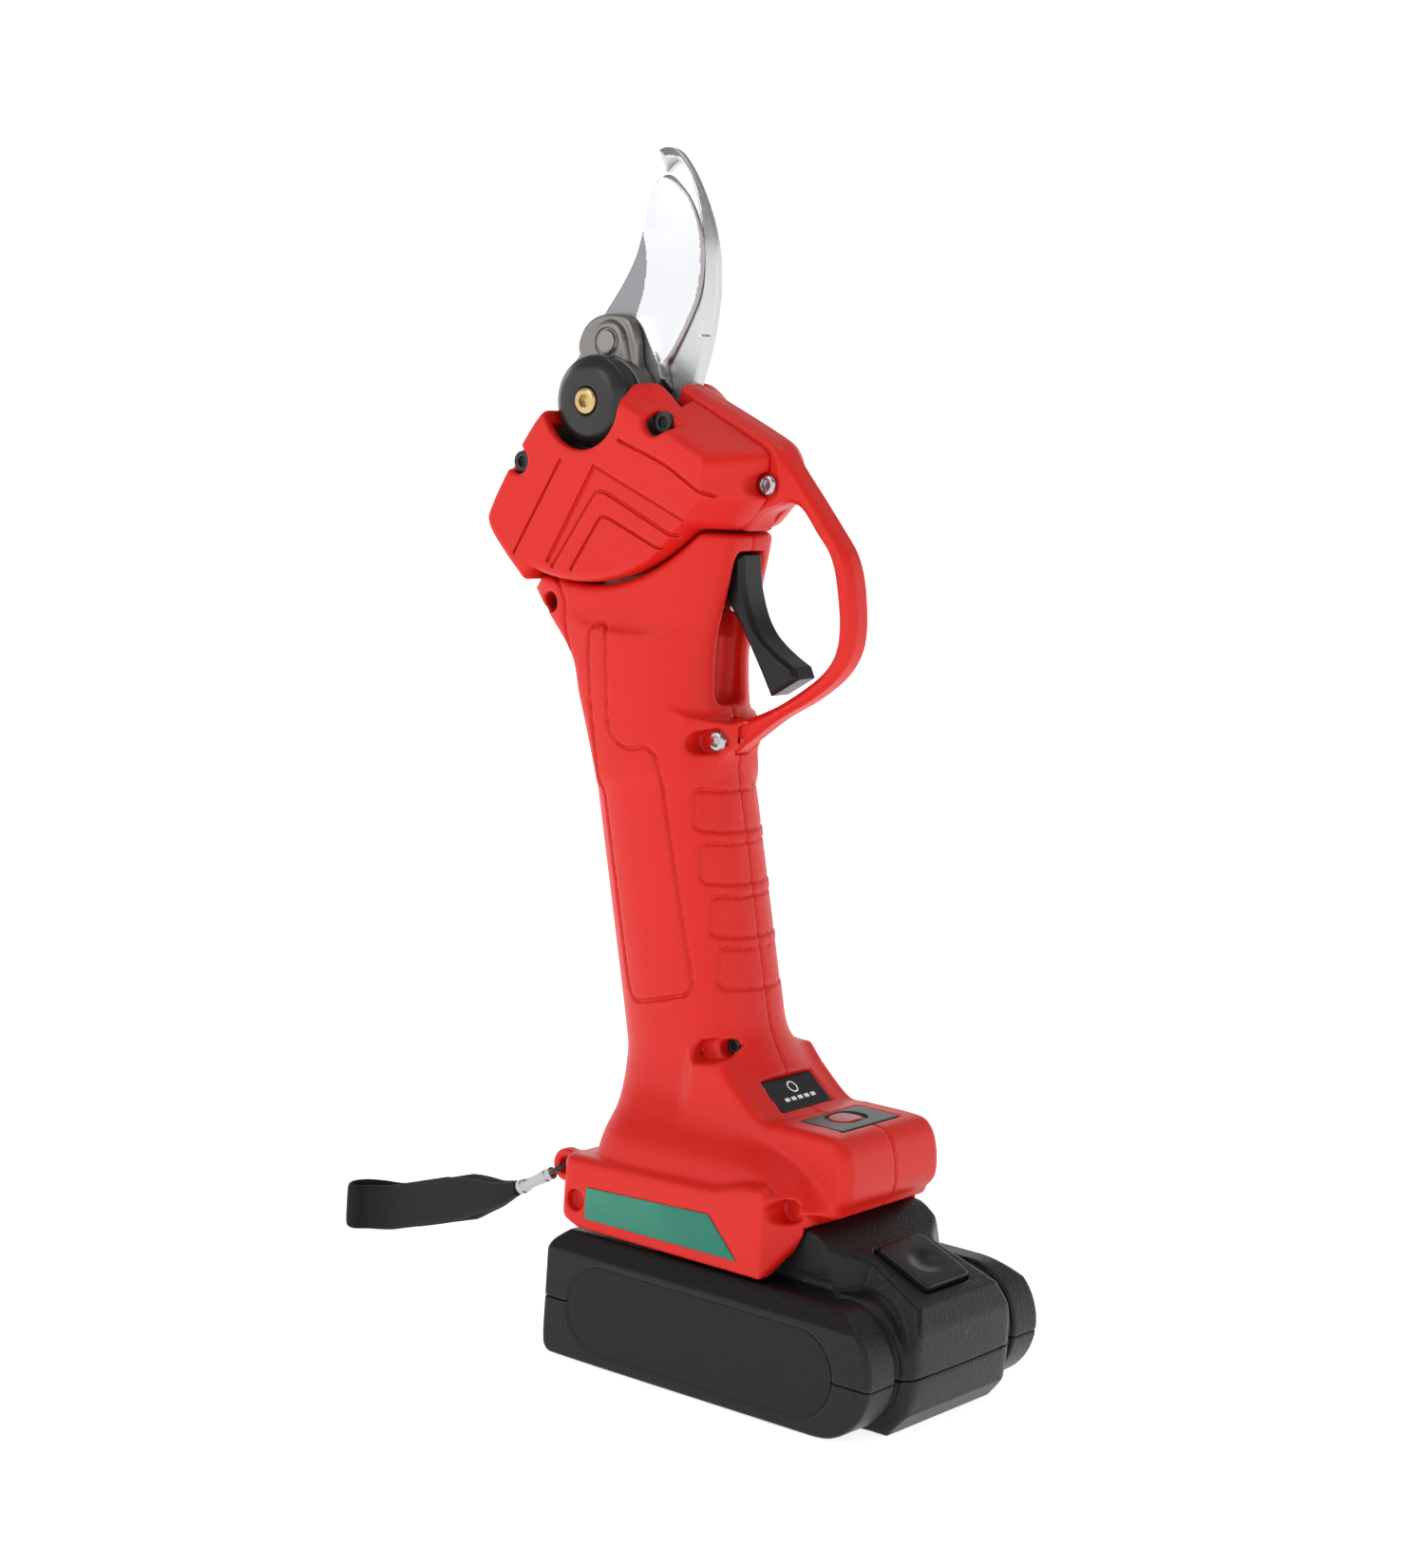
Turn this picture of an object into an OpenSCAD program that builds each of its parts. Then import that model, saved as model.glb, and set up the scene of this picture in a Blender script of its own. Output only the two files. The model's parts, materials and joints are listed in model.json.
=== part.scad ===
// Battery electric pruner: a tilted motor handle with a bypass cutting head, a
// finger guard and a foot that takes a slide-on battery pack.
// X points forward (trigger side), Y runs across the tool, Z points up.
// The origin is the middle of the battery's flat underside.

/* [Battery pack] */
// Length of the pack's side wings
battery_length = 98; // [96:1:102]
// Width across the side wings
battery_width = 72; // [70:1:76]
// Diameter of the half-round wing fronts
wing_height = 31.4; // [31:0.2:33]
// Width of the middle block between the wings
block_width = 45; // [42:1:46]

/* [Cutting head] */
// Angle at which the handle leans forward below the pivot
tilt = 13.3; // [12:0.1:14]
// Height of the blade pivot above the battery's underside
pivot_z = 232.5; // [231:0.5:234]
// Half of the head's width
head_half = 20; // [19.5:0.5:21]
// Thickness of the moving blade
blade_thick = 3.1; // [2.5:0.1:3.1]
// Radius of the pivot bolt's shank
bolt_r = 5; // [4.5:0.1:5.2]

/* [Handle] */
// Half of the grip's width
grip_half = 16.5; // [16:0.5:18]
// Half of the grip's depth, front to back
grip_depth = 20.5; // [19.5:0.5:22]
// Thickness of the plastic walls
wall = 2.2; // [1.8:0.1:2.4]
// Width of the finger guard
guard_width = 7.4; // [6:0.2:8]

/* [Drive] */
// Pitch radius of the crown gear sector
crown_r = 30; // [30:1:30]
// Number of teeth on the pinion
pinion_teeth = 10; // [10:1:10]
// Radius of the motor can
motor_r = 13.2; // [12:0.1:13.4]

/* [Hidden] */
$fn = 48;
pivot_x = -67.5;
e = 0.01;
gap = 0.1;            // running gap between faces that slide on each other
seam = 0.15;          // half of the joint line between the two shell halves
battery_x0 = -battery_length / 2;
wing_r = wing_height / 2;
wing_x = battery_length / 2 - wing_r;
block_half = block_width / 2;
block_x1 = battery_length / 2 + 2;
rail_z = 43.6;        // top of the pack's slide block
foot_z = 32;          // underside of the foot
head_arc = 44.2;      // radius of the head's lower edge about the pivot
shell_gap = 0.7;      // joint between the head and the handle shells
slot_near = -9.9;     // the blade slot between the two head shells
slot_far = 6.4;
pitch = 360 / (6 * pinion_teeth);
pinion_r = crown_r / 6;
tooth_add = 0.9;
tooth_ded = 1.15;

// ---- helpers --------------------------------------------------------------
module tool_frame() { translate([pivot_x, 0, pivot_z]) rotate([0, -tilt, 0]) children(); }
module across(y0, y1) { translate([0, y1, 0]) rotate([90, 0, 0]) linear_extrude(y1 - y0) children(); }
module rod_y(p, r, y0, y1) { translate([p[0], y1, p[1]]) rotate([90, 0, 0]) cylinder(r = r, h = y1 - y0); }
module at_pivot() { translate([pivot_x, 0, pivot_z]) children(); }
module near_half() { intersection() { children(); translate([-200, -200, -10]) cube([400, 200 - seam, 400]); } }
module far_half() { intersection() { children(); translate([-200, seam, -10]) cube([400, 200, 400]); } }
function arc(c, r, a0, a1, n) =
  [for (i = [0:n]) let (a = a0 + (a1 - a0) * i / n) [c[0] + r * cos(a), c[1] + r * sin(a)]];
function axis_x(z) = pivot_x + (pivot_z - z) * tan(tilt);
function curve(c, n) = sign(c) * pow(abs(c), 2 / n);
// a shell's outline at one height: height, middle, half depth, half width, squareness
function outline_at(s, count) =
  [for (i = [0:count - 1]) let (a = 360 * i / count)
    [s[1] + s[2] * curve(cos(a), s[4]), s[3] * curve(sin(a), s[4]), s[0]]];
module loft(stations, count = 32) {
  for (k = [0:len(stations) - 2]) hull() polyhedron(
    points = concat(outline_at(stations[k], count), outline_at(stations[k + 1], count)),
    faces = concat(
      [[for (i = [0:count - 1]) i]],
      [[for (i = [count - 1:-1:0]) count + i]],
      [for (i = [0:count - 1]) let (j = (i + 1) % count) [i, count + i, count + j]],
      [for (i = [0:count - 1]) let (j = (i + 1) % count) [i, count + j, j]]
    )
  );
}

// ---- head shells ----------------------------------------------------------
head_outline = concat(
  [[-83, 187], [-89.3, 192.6], [-95.2, 198.4], [-96.4, 202.2], [-90.4, 214.6], [-82, 227.5],
   [-76, 231.5], [-62, 236.6], [-50, 238.4], [-20.5, 226], [-12, 222], [-13.5, 211],
   [-18, 209], [-19.5, 203.9], [-32.5, 204.4]],
  arc([pivot_x, pivot_z], head_arc, -40.3, -107, 10)
);
head_hollow = [
  [-80.5, 193], [-88, 195], [-93.3, 200.5], [-93.6, 202.4], [-88.5, 213.2], [-80.5, 225.4],
  [-62, 232], [-52, 232.8], [-30, 223.5], [-15, 218], [-16.5, 214.5], [-33.5, 207],
  [-40, 199.5], [-49, 194.2], [-58, 191.5], [-70, 191]
];
// the part of the head above its sloping shoulders
module shoulder_cut(side) {
  translate([-50, 0, 238.4]) rotate([0, 22.8, 0])
    translate([0, side * 5, -0.6]) rotate([side * -21.8, 0, 0])
      translate([-60, side > 0 ? -e : -40, 0]) cube([120, 40, 30]);
}
module head_solid(side) {
  difference() {
    across(side > 0 ? seam : -head_half, side > 0 ? head_half : -seam) polygon(head_outline);
    across(side > 0 ? -1 : -head_half + wall, side > 0 ? head_half - wall : 1) polygon(head_hollow);
    shoulder_cut(side);
    // slot for the blades and the drive arm
    rod_y([pivot_x, pivot_z], 24, slot_near, slot_far);
    across(slot_near, slot_far) polygon([[-92, 222], [-46.5, 222], [-46.5, 245], [-92, 245]]);
    // seat for the guard's spine
    across(-5.3, 5.3) polygon(spine_seat);
    gear_passage();
    guard_screw_holes();
    head_screw_holes();
  }
}
module gear_passage() { tool_frame() translate([0, 0, -62]) cylinder(r = 13.9, h = 26); }
module head_screw_holes() {
  rod_y([-44, 229.2], 1.6, -40, 40);
  rod_y([-86.5, 216.4], 1.6, -40, 40);
  rod_y([-44, 229.2], 3.1, -40, -14.6);
  rod_y([-86.5, 216.4], 3.1, -40, -17.4);
}
module head_shell_left() {
  color("#e0301f")
  difference() {
    head_solid(-1);
    rod_y([pivot_x, pivot_z], 12, -head_half - 1, slot_near + 1);
  }
}
module head_shell_right() {
  color("#e0301f")
  difference() {
    head_solid(1);
    rod_y([pivot_x, pivot_z], 9.6, slot_far, head_half + 1);
    rod_y([pivot_x, pivot_z], 12.4, slot_far - 1, 9.3);
  }
}

// ---- finger guard with its spine along the head ---------------------------
spine_seat = [[-49.2, 225], [-49.2, 241], [-10, 227], [-10, 208], [-22, 208], [-22, 215.6], [-44, 225]];
guard_outer = [
  [-47.6, 237.9], [-20, 226.4], [-11, 217.8], [-1.3, 207], [3.3, 201.4], [5.6, 195], [7.2, 186],
  [7, 180], [5.4, 175.2], [2, 170.6], [-5, 165.2], [-14, 159.6], [-23.5, 152], [-27, 149.5], [-33, 151], [-33, 158.2]
];
guard_inner = [
  [-24.5, 158.6], [-16, 162.2], [-9.4, 166.4], [-2.6, 171.6], [0.7, 175.6], [2.1, 180],
  [2.1, 185.6], [1, 192], [-0.4, 197.4], [-2.4, 201.4], [-6.5, 206], [-10.2, 210.4], [-13, 211.9],
  [-21.8, 211.9], [-21.8, 215.9], [-26, 223.5], [-48.9, 233.2]
];
module trigger_guard() {
  color("#e0301f")
  difference() {
    union() {
      across(-guard_width / 2, guard_width / 2) polygon(concat(guard_outer, guard_inner));
      across(-5, 5) polygon([
        [-47.6, 237.9], [-20, 226.4], [-15.4, 222], [-14.8, 213], [-21.8, 212.4], [-21.8, 216.2],
        [-26, 223.5], [-48.9, 233.2]
      ]);
    }
    guard_screw_holes();
  }
}
module guard_screw_holes() {
  rod_y([-19, 216.1], 1.3, -40, 40);
  rod_y([-25, 153.4], 1.3, -40, 40);
}

// ---- handle shells with the foot -------------------------------------------
function grip_station(z, inset) =
  [z, axis_x(z) + 0.2, grip_depth - inset, grip_half - inset, 2.4];
function handle_stations(inset) = concat(
  [[foot_z + 18 + (inset > 0 ? 0.5 : 0), -12, 34 - inset, 30 - inset, 6],
   [56, -14.5, 31.5 - inset, 28 - inset, 5],
   [61, -19, 27.5 - inset, 23 - inset, 4],
   [67, -24.5, 24 - inset, 18.8 - inset, 3.2],
   [74, -28.2, 21.8 - inset, 16.9 - inset, 2.6]],
  [for (z = [84:18:174]) grip_station(z, inset)]
);
upper_outline = concat(
  [[-66.5, 166], [-71.5, 172], [-80, 179.8], [-85.6, 184.9], [-83.9, 185.9]],
  arc([pivot_x, pivot_z], head_arc + shell_gap, -106, -41, 10),
  [[-32.2, 203.6], [-20.4, 203.2], [-22.6, 190], [-23.6, 176], [-24.4, 165], [-24.2, 157], [-27, 150]]
);
upper_hollow = [
  [-67, 155], [-68.8, 168.5], [-76, 177.2], [-78.8, 184.6], [-60, 184], [-45, 188.5],
  [-36, 196], [-31.5, 201], [-24, 201], [-25.5, 190], [-27, 176], [-27.4, 165], [-29, 155]
];
foot_plan = [
  [-48, -31], [-47, -32], [12.5, -32], [20.4, -22.6], [27.5, -19], [27.5, 19], [20.4, 22.6],
  [12.5, 32], [-47, 32], [-48, 31]
];
foot_plan_in = [
  [-45.8, -29.8], [11.6, -29.8], [18.8, -21.2], [25.2, -17.4], [25.2, 17.4], [18.8, 21.2],
  [11.6, 29.8], [-45.8, 29.8]
];
deck_outline = [
  [-20, 47], [18.6, 44.6], [20.6, 44.6], [27.4, 51], [27.9, 57], [26, 63.4], [22.6, 66], [1.5, 66.4],
  [-7.4, 73.6], [-20, 74]
];
deck_hollow = [
  [-20, 49], [20, 49], [25, 53], [25.6, 57], [24, 61.8], [21.4, 63.7], [0.6, 64.1], [-8.6, 71.2], [-20, 71.5]
];
module handle_solid() {
  difference() {
    union() {
      loft(handle_stations(0));
      across(-grip_half, grip_half) polygon(upper_outline);
      across(-19.6, 19.6) polygon(deck_outline);
      foot_flange();
      rod_y([-50.2, 45.6], 4, -28.6, -25.4);
    }
    loft(handle_stations(wall));
    across(-grip_half + wall, grip_half - wall) polygon(upper_hollow);
    across(-17.4, 17.4) polygon(deck_hollow);
    foot_hollow();
    handle_cuts();
  }
  for (side = [-1, 1]) translate([-20, side > 0 ? 20.9 : -30, 35.4]) cube([30, 9.1, 2]);
}
module foot_flange() {
  difference() {
    translate([0, 0, foot_z]) linear_extrude(18) polygon(foot_plan);
    // the front of the foot rises over the pack's slide block
    across(-60, 60) polygon([[12.5, 31], [20.4, 44.6], [40, 44.6], [40, 31]]);
    across(-60, 60) polygon([[-49, 31], [-42, 31], [-42, 32], [-49, 34.6]]);
  }
}
module foot_hollow() {
  translate([0, 0, foot_z - 1]) linear_extrude(17.2) polygon(foot_plan_in);
  // way in and out for the pack's slide block
  translate([-24.4, -block_half - 0.4, foot_z - 1]) cube([90, block_width + 0.8, 13]);
}
module handle_cuts() {
  // window in the front wall for the trigger, and the slot for the guard's tab
  across(-4.9, 4.9) polygon([[-38.5, 184], [-30, 172], [-26, 160.2], [-15, 160.2], [-15, 200.5], [-35, 200.5], [-38.5, 196.5]]);
  gear_passage();
  across(-guard_width / 2 - 0.1, guard_width / 2 + 0.1) polygon([[-33.2, 149.3], [-14, 146], [-14, 163.4], [-24.6, 158.8], [-33.2, 158.6]]);
  across(-5.15, 5.15) polygon([[-22, 207.9], [-10, 207.9], [-10, 216], [-22, 216]]);
  rod_y([-32.5, 194.5], 1.55, -grip_half + 2.9, grip_half - 2.9);
  rod_y([-50.2, 45.6], 2.2, -40, -20);
  guard_screw_holes();
  rod_y([-25, 153.4], 2.9, -40, -10.4);
  handle_screw_holes();
  // openings for the display, the power plate and the terminal block
  translate([-2.9, 0, 69.2]) rotate([0, 38, 0]) cube([9.8, 20.6, 8], center = true);
  translate([13.9, 0, 66]) cube([12.8, 24.2, 8], center = true);
}
handle_screw_places = [[-77.4, 182], [-17, 80]];
module handle_screw_holes() {
  for (p = handle_screw_places) {
    rod_y(p, 1.3, -40, 40);
    rod_y(p, 2.7, -40, -11.6);
  }
}
module handle_shell_left() { color("#e0301f") near_half() handle_solid(); }
module handle_shell_right() { color("#e0301f") far_half() handle_solid(); }

// ---- blades ----------------------------------------------------------------
hook_outer = [[12, -6], [18.2, -1], [19.2, 4], [20.8, 9.5], [22.4, 16], [23.4, 25.2], [23.3, 33], [22, 40.5], [19, 48], [14.9, 55.1], [11.4, 59.6], [8.3, 62], [2.6, 61.9]];
hook_inner = [[5.6, 56.4], [8, 58.4], [9.6, 59.4], [12.6, 56.4], [15.2, 50.5], [16.6, 44], [17.2, 37], [16.6, 30], [14.6, 23], [11.6, 17], [7, 12.6]];
module counter_blade() {
  color("#b9bdc2")
  at_pivot()
  difference() {
    union() {
      across(0, 4) polygon(concat(hook_outer, hook_inner));
      rod_y([0, 0], 13.6, 0, 5.5);
      across(0, 5.5) polygon([[6, -11], [16.4, -6], [19, 3], [7, 11.5]]);
    }
    rod_y([0, 0], bolt_r + 0.02, -1, 7);
    for (a = [-60, -135]) rod_y([10 * cos(a), 10 * sin(a)], 1.65, -1, 7);
  }
}
blade_edge = [[12.7, 6.4], [11.7, 9.3], [13.2, 12], [15.8, 16.8], [18.3, 22], [20.2, 26.9], [21, 33.1], [20.4, 40], [18.7, 45.4], [15.6, 50.4], [11.6, 54.2], [7.6, 56]];
blade_back = [[5, 51.8], [3.8, 48.1], [3, 42.3], [1.2, 35.8], [-2.4, 28.9], [-7.9, 20.9], [-9.8, 17.5], [-12.6, 8]];
module moving_blade() {
  color("#d9dde0")
  at_pivot()
  difference() {
    union() {
      across(-gap - blade_thick, -gap) polygon(concat(blade_edge, blade_back, [[-6, 0], [6, 0]]));
      rod_y([0, 0], 14, -gap - blade_thick, -gap);
    }
    rod_y([0, 0], bolt_r + 0.05, -10, 1);
    rod_y([-1.6, 14.6], 2.02, -10, 1);
  }
}
// arm and toothed sector of the drive gear, seen along the pivot
module drive_gear() {
  face = -gap - blade_thick;
  color("#6d6c69")
  at_pivot()
  difference() {
    union() {
      across(-8.5, face) polygon(concat(
        arc([0, 0], 12.6, -60, 20, 8), [[6.4, 9.6], [4.2, 16.4]], arc([-1.6, 14.6], 5.4, 20, 160, 8),
        [[-9.8, 11.6]], arc([0, 0], 13.4, 150, 240, 8)));
      across(-6.8, face) polygon(concat(
        [[9.6, 6.6], [5.4, 16.2]], arc([-1.6, 14.6], 7.2, 20, 150, 8), [[-11, 11.6], [0, 0]]));
      rod_y([0, 0], 11.2, -9.5, face);
      rotate([0, -tilt, 0]) crown_sector();
    }
    rod_y([0, 0], bolt_r + 0.05, -20, 1);
    rod_y([-1.6, 14.6], 2, -20, 1);
  }
}
module crown_sector() {
  face = -pinion_r - tooth_ded;
  across(-9.3, face) polygon(concat(
    [[-4, -8], [-8, -9]], arc([0, 0], crown_r + 3, 216, 282, 14), [[6, -9]]));
  for (k = [-1:8]) rotate([0, k * pitch, 0])
    across(face - 0.8, -pinion_r + tooth_add) polygon([
      [-0.62, -crown_r - 2.5], [0.62, -crown_r - 2.5], [0.5, -crown_r + 2.8], [-0.5, -crown_r + 2.8]]);
}
module drive_pin() {
  color("#8a8986")
  at_pivot() {
    rod_y([-1.6, 14.6], 1.98, -9.1, -gap - 0.1);
    difference() {
      rod_y([-1.6, 14.6], 2.6, -9.1, -8.5);
      rod_y([-1.6, 14.6], 1.5, -9.6, -8.8);
    }
  }
}
module pivot_bolt() {
  color("#5c5f63")
  at_pivot()
  difference() {
    union() {
      rod_y([0, 0], bolt_r, -12, 9);
      rod_y([0, 0], 4, -15.6, -12);
      rod_y([0, 0], 8.6, 9, 13);
    }
    rod_y([0, 0], 1.7, -20, -6);
    across(10.6, 20) circle(r = 3.4, $fn = 6);
  }
}
module pivot_washers() {
  color("#9a9da0")
  at_pivot() {
    washer(-10.2, -9.6);
    washer(5.5, 5.9);
  }
}
module washer(y0, y1) {
  difference() {
    rod_y([0, 0], 9.4, y0, y1);
    rod_y([0, 0], bolt_r + 0.05, y0 - 1, y1 + 1);
  }
}
module adjusting_nut() {
  color("#232325")
  at_pivot()
  difference() {
    rotate([90, 0, 0]) rotate_extrude() polygon([
      [0, 10.3], [11.2, 10.3], [11.2, 14.6], [10.6, 15.3], [8.3, 17.4], [4.4, 17.4], [4.2, 16.6], [0, 16.6]]);
    rod_y([0, 0], bolt_r + 0.02, -12, 0);
    rod_y([0, 0], 4.02, -15.6, 0);
    rod_y([0, 0], 1.72, -20, 0);
    for (a = [45, 135, 225, 315]) rod_y([9.4 * cos(a), 9.4 * sin(a)], 0.9, -20, -14.6);
  }
}
module lock_screw() {
  color("#c9a255")
  at_pivot()
  difference() {
    union() {
      rod_y([0, 0], 3.3, -18.2, -16.6);
      rod_y([0, 0], 1.68, -16.6, -8);
    }
    across(-19, -17.1) circle(r = 1.4, $fn = 6);
  }
}

// ---- gear housing and gear train (all on the handle's axis) ----------------
module gear_housing() {
  color("#a7aaad")
  difference() {
    union() {
      tool_frame() {
        across(5.9, 9) polygon(concat(arc([0, 0], 12, 20, 160, 8), [[-12.6, -20], [-10.4, -34], [-10.4, -46], [10.4, -46], [10.4, -34], [12.6, -20]]));
        translate([0, 0, -46]) cylinder(r = 13.6, h = 4);
        translate([0, 0, -42]) difference() {
          cylinder(r = 10.6, h = 3.2);
          translate([0, 0, -1]) cylinder(r = 8.02, h = 6);
        }
      }
    }
    at_pivot() rod_y([0, 0], bolt_r + 0.02, 0, 20);
    tool_frame() translate([0, 0, -47]) cylinder(r = 5.2, h = 20);
    tool_frame() translate([0, 0, -42.2]) cylinder(r = 8.02, h = 8);
    // the crown sector sweeps past the bearing seat here
    at_pivot() rod_y([0, 0], crown_r + 3.6, -30, -3.4);
    tool_frame() translate([0, 0, -34]) cylinder(r = 6.5, h = 8);
  }
}
module tooth_ring(teeth, r_root, r_tip, half_root, half_tip, h) {
  linear_extrude(h) union() {
    circle(r = r_root);
    for (k = [0:teeth - 1]) rotate(360 * k / teeth)
      polygon([[r_root - 0.5, -half_root], [r_tip, -half_tip], [r_tip, half_tip], [r_root - 0.5, half_root]]);
  }
}
module bevel_pinion() {
  color("#8d8f92")
  tool_frame() {
    translate([0, 0, -crown_r - 3])
      tooth_ring(pinion_teeth, pinion_r - tooth_ded, pinion_r + tooth_add, 0.82, 0.32, 6);
    translate([0, 0, -50.2]) cylinder(r = 3.4, h = 17.3);
  }
}
module pinion_bearing() {
  color("#b3b6b9")
  tool_frame() translate([0, 0, -42.2]) difference() {
    cylinder(r = 8, h = 3.4);
    translate([0, 0, -1]) cylinder(r = 3.42, h = 6);
  }
}
planet_orbit = 7.2;
module planet_carrier() {
  color("#7d7f82")
  tool_frame() {
    translate([0, 0, -53]) cylinder(r = 10.2, h = 2.8);
    for (a = [90, 210, 330]) translate([planet_orbit * cos(a), planet_orbit * sin(a), -60])
      cylinder(r = 1.4, h = 7.1);
  }
}
module planet_gear(angle) {
  color("#97999c")
  tool_frame() translate([planet_orbit * cos(angle), planet_orbit * sin(angle), -60]) difference() {
    tooth_ring(10, 3.1, 4.7, 0.68, 0.28, 6.7);
    translate([0, 0, -1]) cylinder(r = 1.46, h = 10);
  }
}
module planet_gear_a() { planet_gear(90); }
module planet_gear_b() { planet_gear(210); }
module planet_gear_c() { planet_gear(330); }
module sun_gear() {
  color("#8d8f92")
  tool_frame() translate([0, 0, -60.2]) difference() {
    tooth_ring(8, 2.3, 3.9, 0.62, 0.28, 6.6);
    translate([0, 0, -1]) cylinder(r = 1.5, h = 6);
  }
}
module ring_gear() {
  color("#84878a")
  tool_frame() difference() {
    translate([0, 0, -62]) cylinder(r = motor_r, h = 16);
    translate([0, 0, -60.6]) rotate(180 / 28) tooth_ring(28, 10.55, 12.1, 0.95, 0.7, 11);
    translate([0, 0, -50]) cylinder(r = 5.2, h = 8);
    translate([0, 0, -64]) cylinder(r = 4.4, h = 8);
  }
}
module motor_can() {
  color("#4a4d52")
  tool_frame() difference() {
    translate([0, 0, -98]) cylinder(r = motor_r, h = 36);
    translate([0, 0, -96.4]) cylinder(r = motor_r - 1.1, h = 32.8);
    translate([0, 0, -100]) cylinder(r = 2.6, h = 60);
  }
}
module motor_magnets() {
  color("#2f3236")
  tool_frame() difference() {
    translate([0, 0, -92]) cylinder(r = motor_r - 1.1, h = 24);
    translate([0, 0, -94]) cylinder(r = motor_r - 3.9, h = 30);
  }
}
module motor_rotor() {
  color("#9a6a3a")
  tool_frame() {
    translate([0, 0, -91]) cylinder(r = 8.6, h = 22);
    translate([0, 0, -99]) cylinder(r = 1.48, h = 43.8);
  }
}
module motor_board() {
  color("#1f6b3a")
  tool_frame() difference() {
    translate([0, 0, -101.4]) cylinder(r = 12, h = 1.6);
    translate([0, 0, -103]) cylinder(r = 2.4, h = 6);
  }
}
module motor_wires() {
  for (k = [-1:1]) color(["#1e6fd0", "#e3c21c", "#28963c"][k + 1])
    translate([-32 + 3 * k, 5, 55]) rotate([0, -8.75, 0]) cylinder(r = 0.9, h = 78);
}

// ---- trigger ---------------------------------------------------------------
trigger_pivot = [-32.5, 194.5];
trigger_outline = [
  [-35, 197.6], [-31, 198.6], [-26.9, 198.2], [-25.6, 192], [-23.4, 185.6], [-20.6, 180.8],
  [-16.8, 177.3], [-12.6, 174.9], [-9.4, 173.2], [-7.9, 170.4], [-15.6, 165.4], [-18.7, 171.5],
  [-23.8, 181.3], [-28.2, 188.2], [-33.6, 190.8], [-36, 192.6]
];
module trigger() {
  color("#26282b")
  difference() {
    across(-4.5, 4.5) polygon(trigger_outline);
    rod_y(trigger_pivot, 1.55, -10, 10);
    rod_y([-26.6, 186], 1.3, -2.6, 2.6);
  }
}
module trigger_pin() { color("#b9bcc0") rod_y(trigger_pivot, 1.5, -grip_half + 3, grip_half - 3); }
module trigger_magnet() { color("#c9ccd0") rod_y([-26.6, 186], 1.28, -2.5, 2.5); }
module hall_sensor() {
  color("#1f6b3a") translate([-38.6, -4, 181]) rotate([0, -tilt, 0]) cube([1.2, 8, 8]);
  color("#202224") translate([-37.2, -1.6, 184]) rotate([0, -tilt, 0]) cube([1, 3.2, 3]);
}
module trigger_spring() {
  color("#c4c7cb") translate([-35.9, 0, 187]) rotate([0, 100, 0]) difference() {
    cylinder(r = 2, h = 5.2);
    translate([0, 0, -1]) cylinder(r = 1.4, h = 9);
  }
}

// ---- electronics in the foot -----------------------------------------------
module control_board() {
  color("#1f6b3a") translate([-38, -14, 53]) cube([38, 28, 1.6]);
  color("#33373c") for (x = [-34, -26]) translate([x, -8, 54.6]) cylinder(r = 3.2, h = 6);
  color("#2a2c2f") for (y = [2, 8]) translate([-18, y, 54.6]) cube([7, 4, 2]);
}
module power_plate() {
  color("#9fa2a5") difference() {
    translate([7.6, -12, 63.9]) cube([12.6, 24, 2.6]);
    translate([12.4, 0, 60]) cylinder(r = 3.6, h = 10);
  }
}
module power_button() { color("#d8251c") translate([12.4, 0, 63.2]) { cylinder(r = 3.3, h = 3.8); cylinder(r = 4.4, h = 0.6); } }
module power_switch() { color("#2b2d30") translate([9.4, -3, 59]) { cube([6, 6, 2.8]); translate([3, 3, 2.8]) cylinder(r = 1.6, h = 0.9); } }
module display_window() { color("#1a1b1d") translate([-2.9, 0, 69.2]) rotate([0, 38, 0]) translate([-4.8, -10.2, -1.6]) cube([9.6, 20.4, 2]); }
module display_board() { color("#1f6b3a") translate([-2.9, 0, 69.2]) rotate([0, 38, 0]) translate([-4, -9, -3.4]) cube([8, 18, 1.2]); }
module terminal_block() {
  color("#2b2b2d") difference() {
    translate([-20, -13, 44]) cube([18, 26, 4.2]);
    for (y = [-8, 0, 8]) translate([-16, y - 0.5, 40]) cube([10, 1, 12]);
  }
}
module terminal_blades() {
  color("#c9ccd0") for (y = [-8, 0, 8]) translate([-16, y - 0.4, 39.4]) cube([10, 0.8, 8.8]);
}
module side_labels() {
  color("#3f9c82") for (side = [-1, 1]) translate([0, side * 32.1, 0])
    across(-0.1, 0.1) polygon([[-40.8, 34.8], [6.3, 35], [-3.1, 44.6], [-40.8, 42.8]]);
}

// ---- screws ----------------------------------------------------------------
module screw(p, y_head, r_head, h_head, length, r_shank) {
  difference() {
    union() {
      rod_y(p, r_head, y_head - h_head, y_head);
      rod_y(p, r_shank, y_head - e, y_head + length);
    }
    translate([p[0], 0, p[1]]) across(y_head - h_head - 1, y_head - h_head + 1.1) circle(r = r_head * 0.5, $fn = 6);
  }
}
module head_screws() {
  color("#1c1c1e") {
    screw([-44, 229.2], -14.6, 2.9, 2, 24, 1.5);
    screw([-86.5, 216.4], -17.4, 2.9, 2, 34, 1.5);
  }
}
module guard_screws() {
  color("#c3c6ca") {
    screw([-19, 216.1], -5.15, 2.5, 1.6, 10, 1.25);
    screw([-25, 153.4], -10.4, 2.5, 1.8, 20, 1.25);
  }
}
module handle_screws() {
  color("#2a2a2c") for (p = handle_screw_places) screw(p, -11.6, 2.5, 1.8, 22, 1.25);
}

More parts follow.
